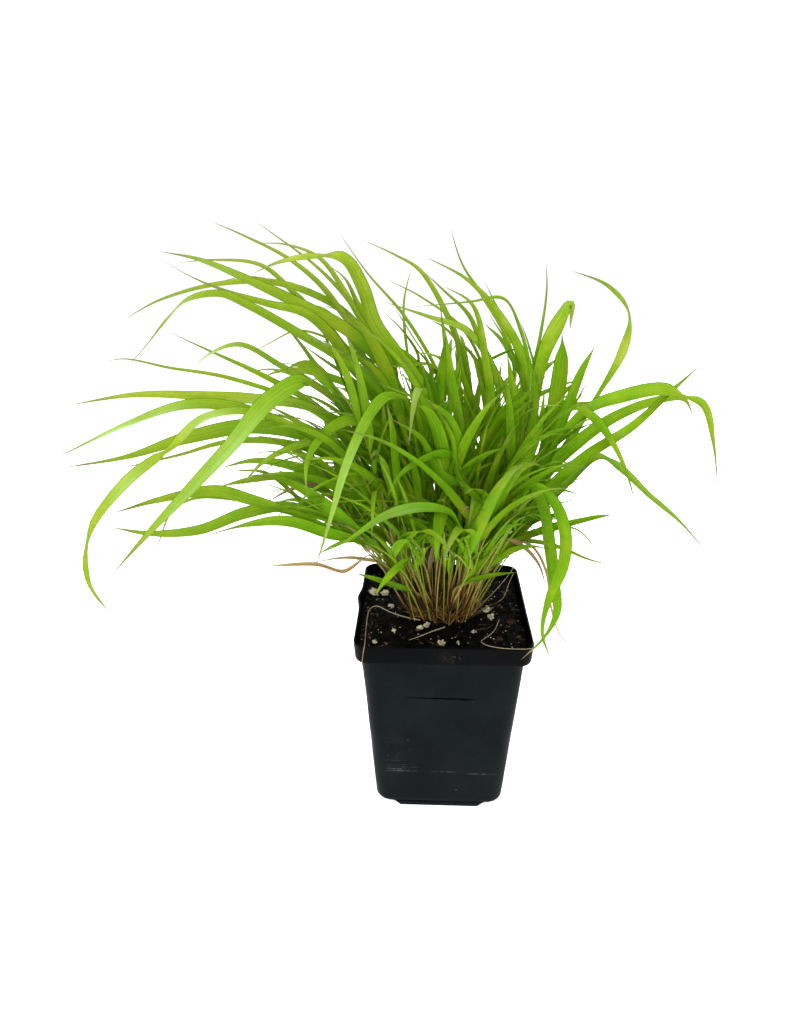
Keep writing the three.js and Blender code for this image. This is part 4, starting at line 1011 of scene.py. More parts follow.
def floor_surface(nodes, look):
    darker = (*(FLOOR_SHADE * value for value in look.floor), 1)
    colour = nodes.layered(look.floor, (nodes.noise(nodes.place(), "floor"), darker))
    glow = {"Emission Color": WHITE, "Emission Strength": look.floor_glow}
    return nodes.surface(colour, roughness=0.9, shine=0.1, others=glow)


# ---- strands: blades, culms, straws
STRAND_VALUES = ("half", "along", "blade", "stalk", "tint", "pale", "thin", "outer", "dry", "strand")
STRAND_SPREAD = 0.618


class Strands:
    """The blades and tubes of one piece, as edges whose points carry their shape and looks."""

    def __init__(self):
        self.points, self.edges, self.facing, self.lift = [], [], [], []
        self.values = {name: [] for name in STRAND_VALUES}
        self.count = 0

    def add(self, points, half, facing, lift=None, **looks):
        count = len(points)
        first = len(self.points)
        self.points.extend(points)
        self.edges.extend((first + i, first + i + 1) for i in range(count - 1))
        self.facing.extend(facing)
        self.lift.extend(np.zeros((count, 3)) if lift is None else lift)
        strand = (self.count * STRAND_SPREAD) % 1
        looks = {"half": half, "along": np.linspace(0, 1, count), "strand": strand, **looks}
        for name in STRAND_VALUES:
            self.values[name].extend(np.broadcast_to(looks.get(name, 0), count))
        self.count += 1

    def to_mesh(self, name):
        mesh = bpy.data.meshes.new(name)
        mesh.from_pydata(np.array(self.points) * MM, self.edges, [])
        for label, rows, scale in (("facing", self.facing, 1), ("lift", self.lift, MM)):
            values = np.array(rows, dtype=np.float32).ravel() * scale
            mesh.attributes.new(label, "FLOAT_VECTOR", "POINT").data.foreach_set("vector", values)
        for label, row in self.values.items():
            values = np.array(row, dtype=np.float32) * (MM if label == "half" else 1)
            mesh.attributes.new(label, "FLOAT", "POINT").data.foreach_set("value", values)
        return mesh


def strand_tree():
    """Sweeps a thin lens along each blade and a circle along each tube, and folds the blades."""
    inputs = {"Strands": "Geometry", "Blade thickness": 0.03, "Fold sharpness": 1.6,
              "Leaf finish": "Material", "Stalk finish": "Material"}
    nodes, given = new_tree("Leafy stem", "GeometryNodeTree", inputs, {"Stem": "Geometry"})

    def carried(name, kind="FLOAT"):
        return nodes.shape("InputNamedAttribute", {"Name": name}, data_type=kind)

    def profile(corners, thickness):
        ring = nodes.shape("CurvePrimitiveCircle", {"Resolution": corners, "Radius": 1.0})
        x, y, _ = nodes.split(nodes.shape("InputPosition"))
        ring = nodes.shape("StoreNamedAttribute", {"Geometry": ring, "Name": "across", "Value": x},
                           data_type="FLOAT", domain="POINT")
        flat = nodes.joined(x, nodes.times(y, thickness))
        return nodes.shape("SetPosition", {"Geometry": ring, "Position": flat})

    def swept(edges, ring):
        path = nodes.shape("MeshToCurve", {0: edges})
        facing = carried("facing", "FLOAT_VECTOR")
        path = nodes.shape("SetCurveNormal", {"Curve": path, "Normal": facing}, mode="FREE")
        inputs = {"Curve": path, "Profile Curve": ring, "Scale": carried("half"), "Fill Caps": True}
        return nodes.shape("CurveToMesh", inputs)

    strands = {0: given["Strands"], 1: carried("blade")}
    parted = nodes.add("GeometryNodeSeparateGeometry", strands, domain="POINT").outputs
    blades = swept(parted[0], profile(corners=12, thickness=given["Blade thickness"]))
    away = nodes.math("POWER", nodes.math("ABSOLUTE", carried("across")), given["Fold sharpness"])
    folded = nodes.scaled(carried("lift", "FLOAT_VECTOR"), away)
    blades = nodes.shape("SetPosition", {"Geometry": blades, "Offset": folded})
    tubes = swept(parted[1], profile(corners=8, thickness=1.0))
    smooth = nodes.shape("SetShadeSmooth", {"Geometry": nodes.joined_shapes((blades, tubes))})
    leaf = nodes.painted(nodes.shape("RealizeInstances", {0: smooth}), given["Leaf finish"])
    stem = nodes.painted(leaf, given["Stalk finish"], carried("stalk"))
    nodes.add("NodeGroupOutput", {"Stem": stem})
    return nodes.tree


def linked(name, data):
    piece = bpy.data.objects.new(name, data)
    bpy.context.scene.collection.objects.link(piece)
    return piece


def made_plain(piece):
    """Puts the mesh that a piece's modifiers make in the place of the piece's own."""
    depsgraph = bpy.context.evaluated_depsgraph_get()
    evaluated = piece.evaluated_get(depsgraph)
    mesh = bpy.data.meshes.new_from_object(evaluated, preserve_all_data_layers=True, depsgraph=depsgraph)
    piece.modifiers.clear()
    piece.data = mesh
    return mesh


def grown(name, mesh, tree, values, replaced):
    """Runs a tree on a mesh and keeps what it makes as a plain mesh piece that rides on the root."""
    piece = linked(name, mesh)
    modifier = piece.modifiers.new("Growth", "NODES")
    modifier.node_group = tree
    for item in tree.interface.items_tree:
        if item.in_out == "INPUT" and item.name in values:
            modifier[item.identifier] = values[item.name]
    made = made_plain(piece)
    made.name = name
    if not made.polygons:
        raise RuntimeError(f"{name}: its node tree made nothing")
    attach(piece, "root")
    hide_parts(replaced)
    return piece


# ---- fine leaves and stalks
# How the fine pieces differ from the solids. Sizes are in mm, and a part is a share of the length.
# Dryness and age run from 0, alive, to 1, dead. A pair holds the least and the most.
FINE_BLADE = Values(
    fewest=12, most=44, segment=5, tip_loss=0.3, wave=0.04, slimmest=0.03, outside=(60, 190),
    narrow=(0.5, 1.8), thinning=(0.4, 0.95), thin_inside=0.12, brighter=0.2, brightening=(0.15, 0.75),
    darker_foot=0.12, foot_fold=2.2, foot=(0, 0.3), tip_fold=0.5, tip=(0.6, 1), ragged_tip=0.3,
)
FINE_CULM = Values(
    points=27, slimness=(0.5, 0.82), drying=(0.1, 0.75), foot_age=0.7, foot_height=30,
    joints=((0.14, 0.1), (0.2, 0.08), (0.22, 0.08)), last_joint=0.2, swelling=0.28, swollen=0.012,
    sheath_loss=0.07, sheath_edge=0.01, joint_age=0.22, aged=0.02,
)
SHEATH = Values(
    height=(14, 58), stray=(0.5, 3.2), sunk=5, foot_off=0.4, off=0.7, parts=(0.0, 0.35, 0.7, 1.0),
    points=13, tip_loss=0.75, tip=(0.55, 1), curl=0.7, dryness=(0.45, 1), foot_dryness=0.4,
    twist=(0.01, 0.02, 0.03),
)
STUB = Values(
    length=(7, 24), off=0.8, sunk=4.5, outwards=(0.1, 0.9), upwards=(0.45, 1), bend=2, radius=(0.18, 0.5),
    taper=0.4, dryness=(0.55, 1), points=6,
)
YOUNG_CULM = Values(
    off=(1.2, 3.4), sunk=5, along=0.45, outwards=(0, 0.25), upwards=(0, 0.7), length=(38, 105),
    bow=(-0.08, 0.08), arch=0.05, radius=(0.3, 0.52), taper=0.65, dryness=(0.02, 0.7), top_loss=0.5,
    foot_dryness=0.5, points=12, turn=(-8, 8),
)
FILL = like(EXTRA, shortest=45, longest=112, slim=3.2, wide=6.6)
YOUNG = like(EXTRA, shortest=25, longest=60, slim=1.7, wide=2.6, droop=20, roll=20)
SKIRT = like(EXTRA, shortest=32, longest=66, slim=4.5, wide=8, droop=60, roll=40)
FILL_PLACE = Values(along=(0.12, 0.92), turn=(-75, 75), shrinks=(1, 0.75, 0.55))
SKIRT_PLACE = Values(
    along=(0.16, 0.24, 0.34, 0.45), stray=(-0.04, 0.04), climb=(-5, 60), heading=(-160, -20),
)
# The leaf tint carries painted shade: leaves that arch out to the left are painted darker against the
# stronger light from the upper left, and inner leaves darker for the shade in the tuft. Pale is partly a
# painted sheen.
LEAF_TINT = Values(
    middle=0.36, left=0.06, left_end=220, inner=0.2, spread=(-0.18, 0.18), pale=(-0.7, 0.14),
    dry_tip=(0.01, 0.05), dry_tips=0.75, drier_tip=(0.06, 0.14),
)
DEAD = 0.8


def wander(random, parts, size):
    """A smooth run of small values along a strand."""
    total = np.zeros(len(parts))
    for wave in (1, 2, 3):
        height = math.sin(random() * FULL_TURN)
        total += height * np.sin(parts * HALF_TURN * wave + random() * FULL_TURN) / wave
    return total * size


def random_way_out(random):
    turn = random() * FULL_TURN
    return turn, np.array((math.cos(turn), math.sin(turn), 0))


def bump_at(values, middle, reach):
    return np.exp(-((values - middle) / reach) ** 2)


def accented(points, half, accents, looks):
    """Narrows, widens, pales and brightens a blade near each of its accents."""
    seen = np.array([to_sheet(point) for point in points])
    for u, v, reach, width, pale, tint in accents:
        close = np.exp(-np.sum((seen - (u, v)) ** 2, axis=1) / reach ** 2)
        half = half * (1 + (width - 1) * close)
        looks["pale"] = looks.get("pale", 0) + pale * close
        looks["tint"] = looks["tint"] + tint * close
    return half


def add_blade(strands, leaf, look, random, segments=None, accents=(), **looks):
    fine, guide = FINE_BLADE, leaf["guide"]
    coarse_parts = np.linspace(0, 1, blade_steps(guide) + 1)
    coarse = blade_sides(curve_points(guide, coarse_parts), leaf)
    length = norm(np.diff(np.asarray(guide), axis=0), axis=1).sum()
    segments = segments or int(min(fine.most, fine.fewest + length / fine.segment))
    parts = np.linspace(0, 1, segments + 1)
    points = curve_points(guide, parts)
    ahead = directions(points)
    sides = np.stack([np.interp(parts, coarse_parts, coarse[:, axis]) for axis in range(3)], 1)
    roll = wander(random, parts, math.radians(look.blade_wander) * 2)[:, None]
    sides = units(sides - ahead * np.sum(sides * ahead, 1)[:, None])
    ups = np.cross(ahead, sides)
    sides, ups = sides * np.cos(roll) + ups * np.sin(roll), ups * np.cos(roll) - sides * np.sin(roll)
    half = np.array([blade_half(leaf, part) for part in parts]) * (1 - fine.tip_loss * parts ** 5)
    half = np.maximum(half * (1 + wander(random, parts, fine.wave)), fine.slimmest)
    half = accented(points, half, accents, looks)
    outer = smooth_step(norm(points - HEART, axis=1), *fine.outside)
    narrow = 1 - smooth_step(half, *fine.narrow)
    looks["thin"] = lerp(fine.thin_inside, 1, outer) * narrow * smooth_step(parts, *fine.thinning)
    looks["outer"] = outer
    brighter = fine.brighter * smooth_step(parts, *fine.brightening)
    looks["tint"] = looks["tint"] + brighter - fine.darker_foot
    at_foot, at_tip = 1 - smooth_step(parts, *fine.foot), smooth_step(parts, *fine.tip)
    fold = look.blade_fold * (1 + fine.foot_fold * at_foot - fine.tip_fold * at_tip)
    tip = looks.pop("tip_dry", 0)
    dry_tip = smooth_step(parts, 1 - tip, 1 - fine.ragged_tip * tip) if tip else 0
    dry = np.maximum(looks.pop("dry", 0), dry_tip)
    strands.add(points, half, sides, ups * (half * fold)[:, None], blade=1, dry=dry, **looks)


def add_tube(strands, points, radii, **looks):
    strands.add(points, radii, units(np.cross(directions(points), TUBE_SIDE)), stalk=1, **looks)


def add_culm(strands, path, random, radii, dryness):
    """A culm with its swollen joints. Each joint starts a sheath that is a little wider below."""
    fine = FINE_CULM
    parts = np.linspace(0, 1, fine.points)
    points = np.array([path.at(part) for part in parts])
    start, end = radii
    slimness = random.between(*fine.slimness)
    radius = lerp(start, end, parts) * slimness
    over_foot = smooth_step(points[:, 2] - points[0, 2], 0, fine.foot_height)
    # Near the foot the culm ages towards dead sheath, which also paints the shade at the foot of the tuft.
    age = dryness * (1 - smooth_step(parts, *fine.drying)) + fine.foot_age * (1 - over_foot)
    spans = [least + more * random() for least, more in fine.joints]
    for joint in np.cumsum([*spans, fine.last_joint]):
        edge = fine.sheath_edge
        radius *= 1 + fine.swelling * bump_at(parts, joint, fine.swollen)
        radius *= 1 - fine.sheath_loss * smooth_step(parts, joint - edge, joint + edge)
        age = age + fine.joint_age * bump_at(parts, joint, fine.aged)
    below = points[0] - UP * (CULM.upright + CULM.sunk - 1)
    add_tube(strands, np.vstack((below, points)), np.append(radius[0], radius), dry=np.append(1, age))


def add_sheath(strands, path, random, look):
    """An old leaf sheath that wraps the foot of a culm and comes loose from it further up."""
    _, out = random_way_out(random)
    reach = random.between(*SHEATH.height) / norm(path.end - path.foot)
    stray = random.between(*SHEATH.stray)
    guide = [path.foot - UP * SHEATH.sunk + out * SHEATH.foot_off]
    guide += [path.at(reach * part) + out * (SHEATH.off + stray * part ** 2) for part in SHEATH.parts]
    width = random.between(look.sheath_slim / MM, look.sheath_wide / MM)
    parts = np.linspace(0, 1, SHEATH.points)
    points = curve_points(guide, parts)
    ahead = directions(points)
    sides = units(np.cross(ahead, out + SHEATH.twist))
    ups = np.cross(ahead, sides)
    half = width / 2 * (1 - SHEATH.tip_loss * smooth_step(parts, *SHEATH.tip))
    facing_in = np.sign(np.sum(ups * -out, 1))[:, None]
    dry = random.between(*SHEATH.dryness) + SHEATH.foot_dryness * (1 - parts) ** 2
    lift = ups * facing_in * (half * SHEATH.curl)[:, None]
    strands.add(points, half, sides, lift, blade=1, stalk=1, dry=dry)


def add_stub(strands, path, random):
    """A short dead stub or fibre that leans away from the foot of a culm."""
    _, out = random_way_out(random)
    length = random.between(*STUB.length)
    start = path.foot + out * STUB.off - UP * STUB.sunk
    lean = out * random.between(*STUB.outwards) + UP * random.between(*STUB.upwards)
    parts = np.linspace(0, 1, STUB.points)
    points = np.array([start + lean * length * part + out * STUB.bend * part ** 2 for part in parts])
    radii = random.between(*STUB.radius) * lerp(1, STUB.taper, parts)
    add_tube(strands, points, radii, dry=random.between(*STUB.dryness))


def add_young_culm(strands, path, random, look):
    """A slim culm of this year that stands up beside an older one and ends in a rolled leaf."""
    young = YOUNG_CULM
    _, out = random_way_out(random)
    foot = path.foot + out * random.between(*young.off) - UP * young.sunk
    leaning = out * random.between(*young.outwards)
    lean = unit(path.ahead(young.along) + leaning + UP * random.between(*young.upwards))
    length = random.between(*young.length)
    bow = np.cross(lean, out) * random.between(*young.bow) * length
    parts = np.linspace(0, 1, young.points)
    points = foot + np.outer(parts * length, lean) + np.outer(parts * (1 - parts), bow)
    points[:, 2] += young.arch * length * parts * (1 - parts)
    radii = random.between(*young.radius) * lerp(1, young.taper, parts)
    dry = random.between(*young.dryness) * (1 - young.top_loss * parts)
    add_tube(strands, points, radii, dry=dry + young.foot_dryness * (1 - parts) ** 6)
    tip = unit(points[-1] - points[-2])
    leaf = rule_leaf(random, math.atan2(tip[1], tip[0]), math.asin(tip[2]), YOUNG)
    guide = rule_guide(leaf, points[-1], random.between(*young.turn), YOUNG.points)
    if in_thicket(guide[-1]):
        add_blade(strands, {**leaf, "guide": guide}, look, random, segments=12,
                  tint=random.between(0.3, 0.6), tip_dry=0.04)


def inside(guide, clear):
    """Whether a leaf stays in the thicket, and clear of the soil by so many mm."""
    return all(in_thicket(point) and point[2] > SOIL.level + clear for point in guide[1:])


def add_fill_leaf(strands, path, random, rule, look, **looks):
    """A further leaf inside the thicket, where the outline stays as it is."""
    t = random.between(*FILL_PLACE.along)
    ahead = path.ahead(t)
    climb = math.asin(ahead[2]) - rule.lift * random()
    leaf = rule_leaf(random, math.atan2(ahead[1], ahead[0]), climb, rule)
    turn = random.between(*FILL_PLACE.turn)
    for shrink in FILL_PLACE.shrinks:
        guide = rule_guide({**leaf, "length": leaf["length"] * shrink}, path.at(t), turn, rule.points)
        if inside(guide, clear=9):
            add_blade(strands, {**leaf, "guide": guide}, look, random, segments=16, **looks)
            return


def add_skirt_leaf(strands, path, random, look):
    """A broad leaf low in the thicket, where it hides the culms."""
    climb = math.radians(random.between(*SKIRT_PLACE.climb))
    leaf = rule_leaf(random, math.radians(random.between(*SKIRT_PLACE.heading)), climb, SKIRT)
    for t in SKIRT_PLACE.along:
        start = path.at(t + random.between(*SKIRT_PLACE.stray))
        guide = rule_guide(leaf, start, 0, SKIRT.points)
        if inside(guide, clear=16):
            tint = random.between(0, 0.34)
            add_blade(strands, {**leaf, "guide": guide}, look, random, segments=16, tint=tint)
            return


def leaf_looks(stem, order, leaf, random):
    """How bright, pale and dry one leaf is. Leaves that arch out to the left are a little darker, and the
    inner leaves made by rule darker again: painted shade. The paleness is partly a painted sheen.
    """
    key = (stem["index"] + 1, order)
    mood = "dry" if stem["dry"] else LEAF_MOODS.get(key)
    left = float(np.clip(-leaf["guide"][-1][0] / LEAF_TINT.left_end, 0, 1))
    inner = "seen_part" not in leaf
    tint = LEAF_TINT.middle - LEAF_TINT.left * left - (LEAF_TINT.inner if inner else 0)
    tint += random.between(*LEAF_TINT.spread)
    pale = 0 if inner else max(0, random.between(*LEAF_TINT.pale))
    plain_tip = inner or random() < LEAF_TINT.dry_tips
    tip_dry = random.between(*(LEAF_TINT.dry_tip if plain_tip else LEAF_TINT.drier_tip))
    looks = {"tint": tint, "pale": pale, "tip_dry": tip_dry, **MOODS.get(mood, {})}
    return {**looks, "accents": ACCENTS.get(key, ())}


def stem_strands(stem, look):
    """Everything that grows from one root: culm, side shoot, leaves, sheaths, young culms, stubs."""
    strands, culm, shoot = Strands(), stem["culm"], stem["shoot"]
    random = RandomStream(look.grass_seed + stem["index"])
    dryness = DEAD if stem["dry"] else random.between(0.1, DEAD)
    add_culm(strands, culm, random, (CULM.radius, CULM.tip_radius), dryness)
    if shoot:
        add_culm(strands, shoot, random, (CULM.shoot_radius, CULM.tip_radius * 0.9), dryness)
    for order, leaf in enumerate(stem["leaves"]):
        add_blade(strands, leaf, look, random, **leaf_looks(stem, order, leaf, random))
    paths = [path for path in (culm, shoot) if path]
    for i in range(look.fill_leaves):
        add_fill_leaf(strands, paths[i % len(paths)], random, FILL, look, tint=random.between(0, 0.4),
                      dry=DEAD if random() < look.dead_share else 0, tip_dry=0.02)
    for _ in range(look.skirt_leaves):
        add_skirt_leaf(strands, culm, random, look)
    for path in paths:
        add_fill_leaf(strands, path, random, YOUNG, look, tint=random.between(0.3, 0.6), tip_dry=0.1)
    for i in range(look.young_culms):
        add_young_culm(strands, paths[i % len(paths)], random, look)
    for i in range(look.sheaths):
        add_sheath(strands, paths[i % len(paths)], random, look)
    for _ in range(look.stubs):
        add_stub(strands, culm, random)
    return strands


def make_stem_pieces(look):
    tree = strand_tree()
    stalk = new_material("culms_and_sheaths", stalk_surface, look, look.straw)
    green = new_material("green_leaves", leaf_surface, look)
    dead = new_material("dead_leaves", leaf_surface, look, dead=True)
    for index in range(len(STEMS) + len(HIDDEN_STEMS)):
        stem = read_stem(index)
        finish, slot = (dead, "dry_leaf") if stem["dry"] else (green, "leaf")
        values = {"Leaf finish": finish, "Stalk finish": stalk, "Blade thickness": look.blade_thickness}
        mesh = stem_strands(stem, look).to_mesh(stem["name"])
        grown(f"fine_{stem['name']}", mesh, tree, values, stem["name"])


# ---- straws
STRAW = Values(points=40, taper=0.45, uneven=0.12, dryness=0.5, first_seed=500)


def make_straw_pieces(look):
    tree, finish = strand_tree(), new_material("dry_straw", stalk_surface, look, look.old_straw)
    finishes = {"Stalk finish": finish, "Leaf finish": finish}
    parts = np.linspace(0, 1, STRAW.points)
    for number, (name, straws) in enumerate(STRAWS.items()):
        strands = Strands()
        random = RandomStream(look.grass_seed + STRAW.first_seed + number)
        for marks in straws:
            points = curve_points([at_height(*mark) for mark in marks], parts)
            radii = STRAW_RADII[name] * (1 - STRAW.taper * parts)
            radii = radii * (1 + wander(random, parts, STRAW.uneven))
            dry = STRAW.dryness + wander(random, parts, STRAW.uneven)
            add_tube(strands, points, radii, dry=dry)
        grown(f"fine_{name}", strands.to_mesh(name), tree, finishes, name)


# ---- pot
# The pot's rounded edges and dents, in mm. Foot: height, then how far the ring stands in. Lip: depth
# under the top, how far it stands in, and its corner. Heel: heights over it, stand in, more corner.
FOOT_EDGE = ((0, 2.2), (0.15, 1.2), (0.6, 0.6))
LIP_EDGE = ((0.35, 0.12, 8), (0.05, 0.65, 7.8), (0, 1.3, 7.5), (0.05, 1.95, 7.2), (0.35, 2.5, 6.9))
HEEL_EDGE = ((0.25, 1.5, 0.9), (0.9, 0.7, 0.4))
DENTS = Values(scale=0.03, depth=0.35, low=12, high=60, rim_edge=0.2, shown=0.97, drop=0.5)
SLIT_EDGE = Values(steps=24, deep=6, wave=(0.12, 19), left=(0.12, 3.2), right=(0.35, 9), torn=(0.18, 31))
DRAIN_EDGE = Values(deep=8, corners=24)
SHARP_ANGLE = 38


def square_ring(width, corner, z, roundness=1.0, side_steps=24, corner_steps=8):
    """A square ring with corners from cut straight (0) to round (1), the same count at any size."""
    inner = width / 2 - corner
    quarter = []
    for i in range(corner_steps + 1):
        part = i / corner_steps
        turn = math.radians(90 * part)
        across = lerp(1 - part, math.cos(turn), roundness)
        along = lerp(part, math.sin(turn), roundness)
        quarter.append((inner + corner * across, inner + corner * along))
    quarter += [(inner - 2 * inner * i / side_steps, width / 2) for i in range(1, side_steps)]
    ring = []
    for quarters in range(4):
        turn = math.radians(90 * quarters)
        cosine, sine = round(math.cos(turn)), round(math.sin(turn))
        ring += [(x * cosine - y * sine, x * sine + y * cosine, z) for x, y in quarter]
    return np.array(ring)


def closed_loft(name, rings):
    """A closed mesh through rings of equal count, with a flat cap at each end."""
    count = len(rings[0])
    faces = [tuple(reversed(range(count)))]
    for level in range(len(rings) - 1):
        low, high = level * count, (level + 1) * count
        faces += [(low + i, low + (i + 1) % count, high + (i + 1) % count, high + i) for i in range(count)]
    faces.append(tuple(range((len(rings) - 1) * count, len(rings) * count)))
    mesh = bpy.data.meshes.new(name)
    mesh.from_pydata(np.vstack(rings) * MM, [], faces)
    return mesh


def wall_width(z):
    return POT.foot_width + (POT.wall_top - POT.foot_width) * z / (POT.height - POT.rim_height)


def rim_width(z):
    low = POT.rim_width - POT.rim_draft
    return lerp(low, POT.rim_width, (z - POT.height + POT.rim_height) / POT.rim_height)


def pot_rings():
    """The pot's section from the foot up outside, over the lip and down inside to the floor.
    A ring has its height, width, corner and how round the corner is."""
    heel, wall, corner, top = POT.heel_height, 2 * POT.thickness, POT.wall_corner, POT.height
    foot, cut, heel_corner = POT.foot_width, POT.foot_cut, POT.heel_corner
    rim_foot, rim_corner = top - POT.rim_height, POT.rim_corner
    low_rim, wall_top = POT.rim_width - POT.rim_draft, wall_width(rim_foot)
    rings = [(z, foot - inset, cut, 0) for z, inset in FOOT_EDGE]
    rings += [(0.55 * heel, foot - 0.4, cut - 1.2, 0), (0.86 * heel, foot - 0.3, cut - 2.4, 0.05),
              (0.95 * heel, foot - 0.6, lerp(cut, heel_corner, 0.6), 0.5),
              (heel, wall_width(heel) - 2.6, heel_corner, 1)]
    rings += [(heel + up, wall_width(heel) - inset, corner + more, 1) for up, inset, more in HEEL_EDGE]
    rings.append((heel + 2.1, wall_width(heel + 2.1) - 0.2, corner, 1))
    rings += [(z, wall_width(z), corner, 1) for z in np.linspace(2 * heel, rim_foot - 0.6, 20)]
    rings += [(rim_foot - 0.1, wall_top + 0.15, corner, 1), (rim_foot, wall_top + 0.9, corner, 1),
              (rim_foot, low_rim - 0.9, rim_corner, 1), (rim_foot + 0.25, low_rim - 0.25, rim_corner, 1)]
    rings += [(z, rim_width(z), rim_corner, 1) for z in np.linspace(rim_foot + 0.8, top - 1, 7)]
    rings += [(top - down, POT.rim_width - inset, lip_corner, 1) for down, inset, lip_corner in LIP_EDGE]
    rim_inside, wall_inside, ledge = rim_corner - wall / 2, corner - wall / 2, rim_foot + wall / 2
    rings += [(z, rim_width(z) - wall, rim_inside, 1) for z in np.linspace(top - 1, ledge + 0.5, 6)]
    rings += [(ledge, low_rim - wall - 0.8, rim_inside, 1), (ledge, wall_top - wall + 0.8, wall_inside, 1),
              (ledge - 0.6, wall_top - wall, wall_inside, 1)]
    rings += [(z, wall_width(z - POT.floor) - wall, wall_inside, 1)
              for z in np.linspace(rim_foot - 2, 2 * heel + POT.floor, 8)]
    rings.append((POT.floor, foot - wall, cut, 0))
    return rings


def bent_by_handling(rings):
    """The thin wall is never quite flat, and the rim's left side is pushed out where it buckled."""
    buckle, rim_foot = POT.buckle, POT.height - POT.rim_height
    for ring in rings:
        for point in ring:
            x, y, z = point
            rising = float(smooth_step(z, DENTS.low, DENTS.high))
            where = Vector((x * DENTS.scale, y * DENTS.scale, z * DENTS.scale))
            push = noise.noise(where) * DENTS.depth * rising
            out = np.array((x, y, 0)) / max(math.hypot(x, y), 1)
            point -= out * abs(push)
            if z > rim_foot - DENTS.rim_edge and x < -POT.wall_top / 2:
                buckled = bump_at(y, buckle.y, buckle.reach)
                point[0] -= buckle.bulge * buckled * DENTS.shown
                point[2] -= DENTS.drop * buckled


def slit_cutter():
    """A thin wedge that leaves a torn slit: pointed at its left end and wavy along its length."""
    slit, edge = POT.slit, SLIT_EDGE
    face, slope = -wall_width(slit.z) / 2, math.tan(math.radians(slit.tilt))
    near_face, far_face = face - edge.deep, face + edge.deep
    (wave, waves), (torn, tears) = edge.wave, edge.torn
    (left, left_slope), (right, right_slope) = edge.left, edge.right
    rings = []
    for i in range(edge.steps + 1):
        part = i / edge.steps
        x = slit.x + slit.length * (part - 0.5)
        z = slit.z + slope * (x - slit.x) + wave * math.sin(part * waves) * part
        open_part = min(1, left + part * left_slope, right + (1 - part) * right_slope)
        half = slit.height / 2 * open_part * (1 + torn * math.sin(part * tears + 1))
        rings.append([(x, near_face, z - half), (x, far_face, z - half), (x, far_face, z + half),
                      (x, near_face, z + half)])
    return closed_loft("slit_cutter", [np.array(ring) for ring in rings])


def drain_cutter(turn):
    drain = POT.drain
    tilt = math.radians(drain.tilt)
    along, level = np.array((math.cos(tilt), 0, -math.sin(tilt))), np.array((0.0, 1.0, 0.0))
    up = np.cross(along, level)
    angles = np.linspace(0, 2 * HALF_TURN, DRAIN_EDGE.corners + 1)[:-1]
    rings = []
    for reach in (-DRAIN_EDGE.deep, DRAIN_EDGE.deep):
        middle = np.array((drain.from_centre, 0, drain.z)) + along * reach
        ring = [middle + (level * math.cos(a) + up * math.sin(a)) * drain.radius for a in angles]
        rings.append(np.array([turned_about_up(point, turn) for point in ring]))
    return closed_loft("drain_cutter", rings)


def facing_out(mesh):
    shell = bmesh.new()
    shell.from_mesh(mesh)
    bmesh.ops.remove_doubles(shell, verts=shell.verts, dist=1e-6)
    bmesh.ops.recalc_face_normals(shell, faces=shell.faces)
    shell.to_mesh(mesh)
    shell.free()


def make_pot_piece(look):
    rings = [square_ring(width, corner, z, roundness) for z, width, corner, roundness in pot_rings()]
    bent_by_handling(rings)
    mesh = closed_loft("nursery_pot", rings)
    facing_out(mesh)
    pot = linked("nursery_pot", mesh)
    cutters = [linked("cutter", cutter) for cutter in (
        slit_cutter(), *(drain_cutter(45 + 90 * quarter) for quarter in range(4)))]
    for cutter in cutters:
        facing_out(cutter.data)
        cut = pot.modifiers.new("Cut", "BOOLEAN")
        cut.object, cut.operation, cut.solver = cutter, "DIFFERENCE", "EXACT"
    made = made_plain(pot)
    for cutter in cutters:
        bpy.data.objects.remove(cutter)
    made.polygons.foreach_set("use_smooth", [True] * len(made.polygons))
    made.set_sharp_from_angle(angle=math.radians(SHARP_ANGLE))
    made.materials.clear()
    made.materials.append(new_material("black_pot_plastic", pot_surface, look))
    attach(pot, "root")
    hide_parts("pot")


# ---- potting mix
MIX_TOP = Values(
    lump_scale=0.13, lumps=0.9, rings=44, corner=0.065, wall_rings=8, crumb=1.4, bark=0.8, perlite=1.9,
)
MIX_SIDES = {"side_steps": 40, "corner_steps": 4}
GRAIN = Values(roughness=0.75, scale=1.5, shape=(1, 0.8, 0.75), bark_shape=(1, 0.8, 0.45), lift=0.15)


def soil_height(x, y):
    far = ((x - CROWN.x) ** 2 + (y - CROWN.y) ** 2) / SOIL.mound_reach ** 2
    where = Vector((x * MIX_TOP.lump_scale, y * MIX_TOP.lump_scale, 3))
    lumps = noise.fractal(where, 1.0, 2.0, 4) * MIX_TOP.lumps
    return SOIL.level + SOIL.mound * math.exp(-far) + lumps


def soil_block():
    """The pot's filling, closed all round, with its lumpy top drawn in rings to the middle."""
    gap = 2 * (POT.thickness + SOIL.gap)
    rim_foot, bottom = POT.height - POT.rim_height, POT.floor + SOIL.gap
    in_rim = POT.rim_width - POT.rim_draft - gap - SOIL.gap
    corner = POT.wall_corner - 2
    rings = [square_ring(POT.foot_width - gap, POT.foot_cut, bottom, 0, **MIX_SIDES)]
    for z in np.linspace(2 * POT.heel_height + bottom, rim_foot, MIX_TOP.wall_rings):
        rings.append(square_ring(wall_width(z - bottom) - gap, corner, z, **MIX_SIDES))
    ledge = rim_foot + POT.thickness + SOIL.gap
    rings.append(square_ring(in_rim, corner - 0.5, ledge, **MIX_SIDES))
    for step in range(MIX_TOP.rings):
        ring = square_ring(1, MIX_TOP.corner, 0, **MIX_SIDES) * (in_rim * (1 - step / MIX_TOP.rings))
        for point in ring:
            point[2] = soil_height(point[0], point[1])
        rings.append(ring)
    return closed_loft("potting_mix", rings)


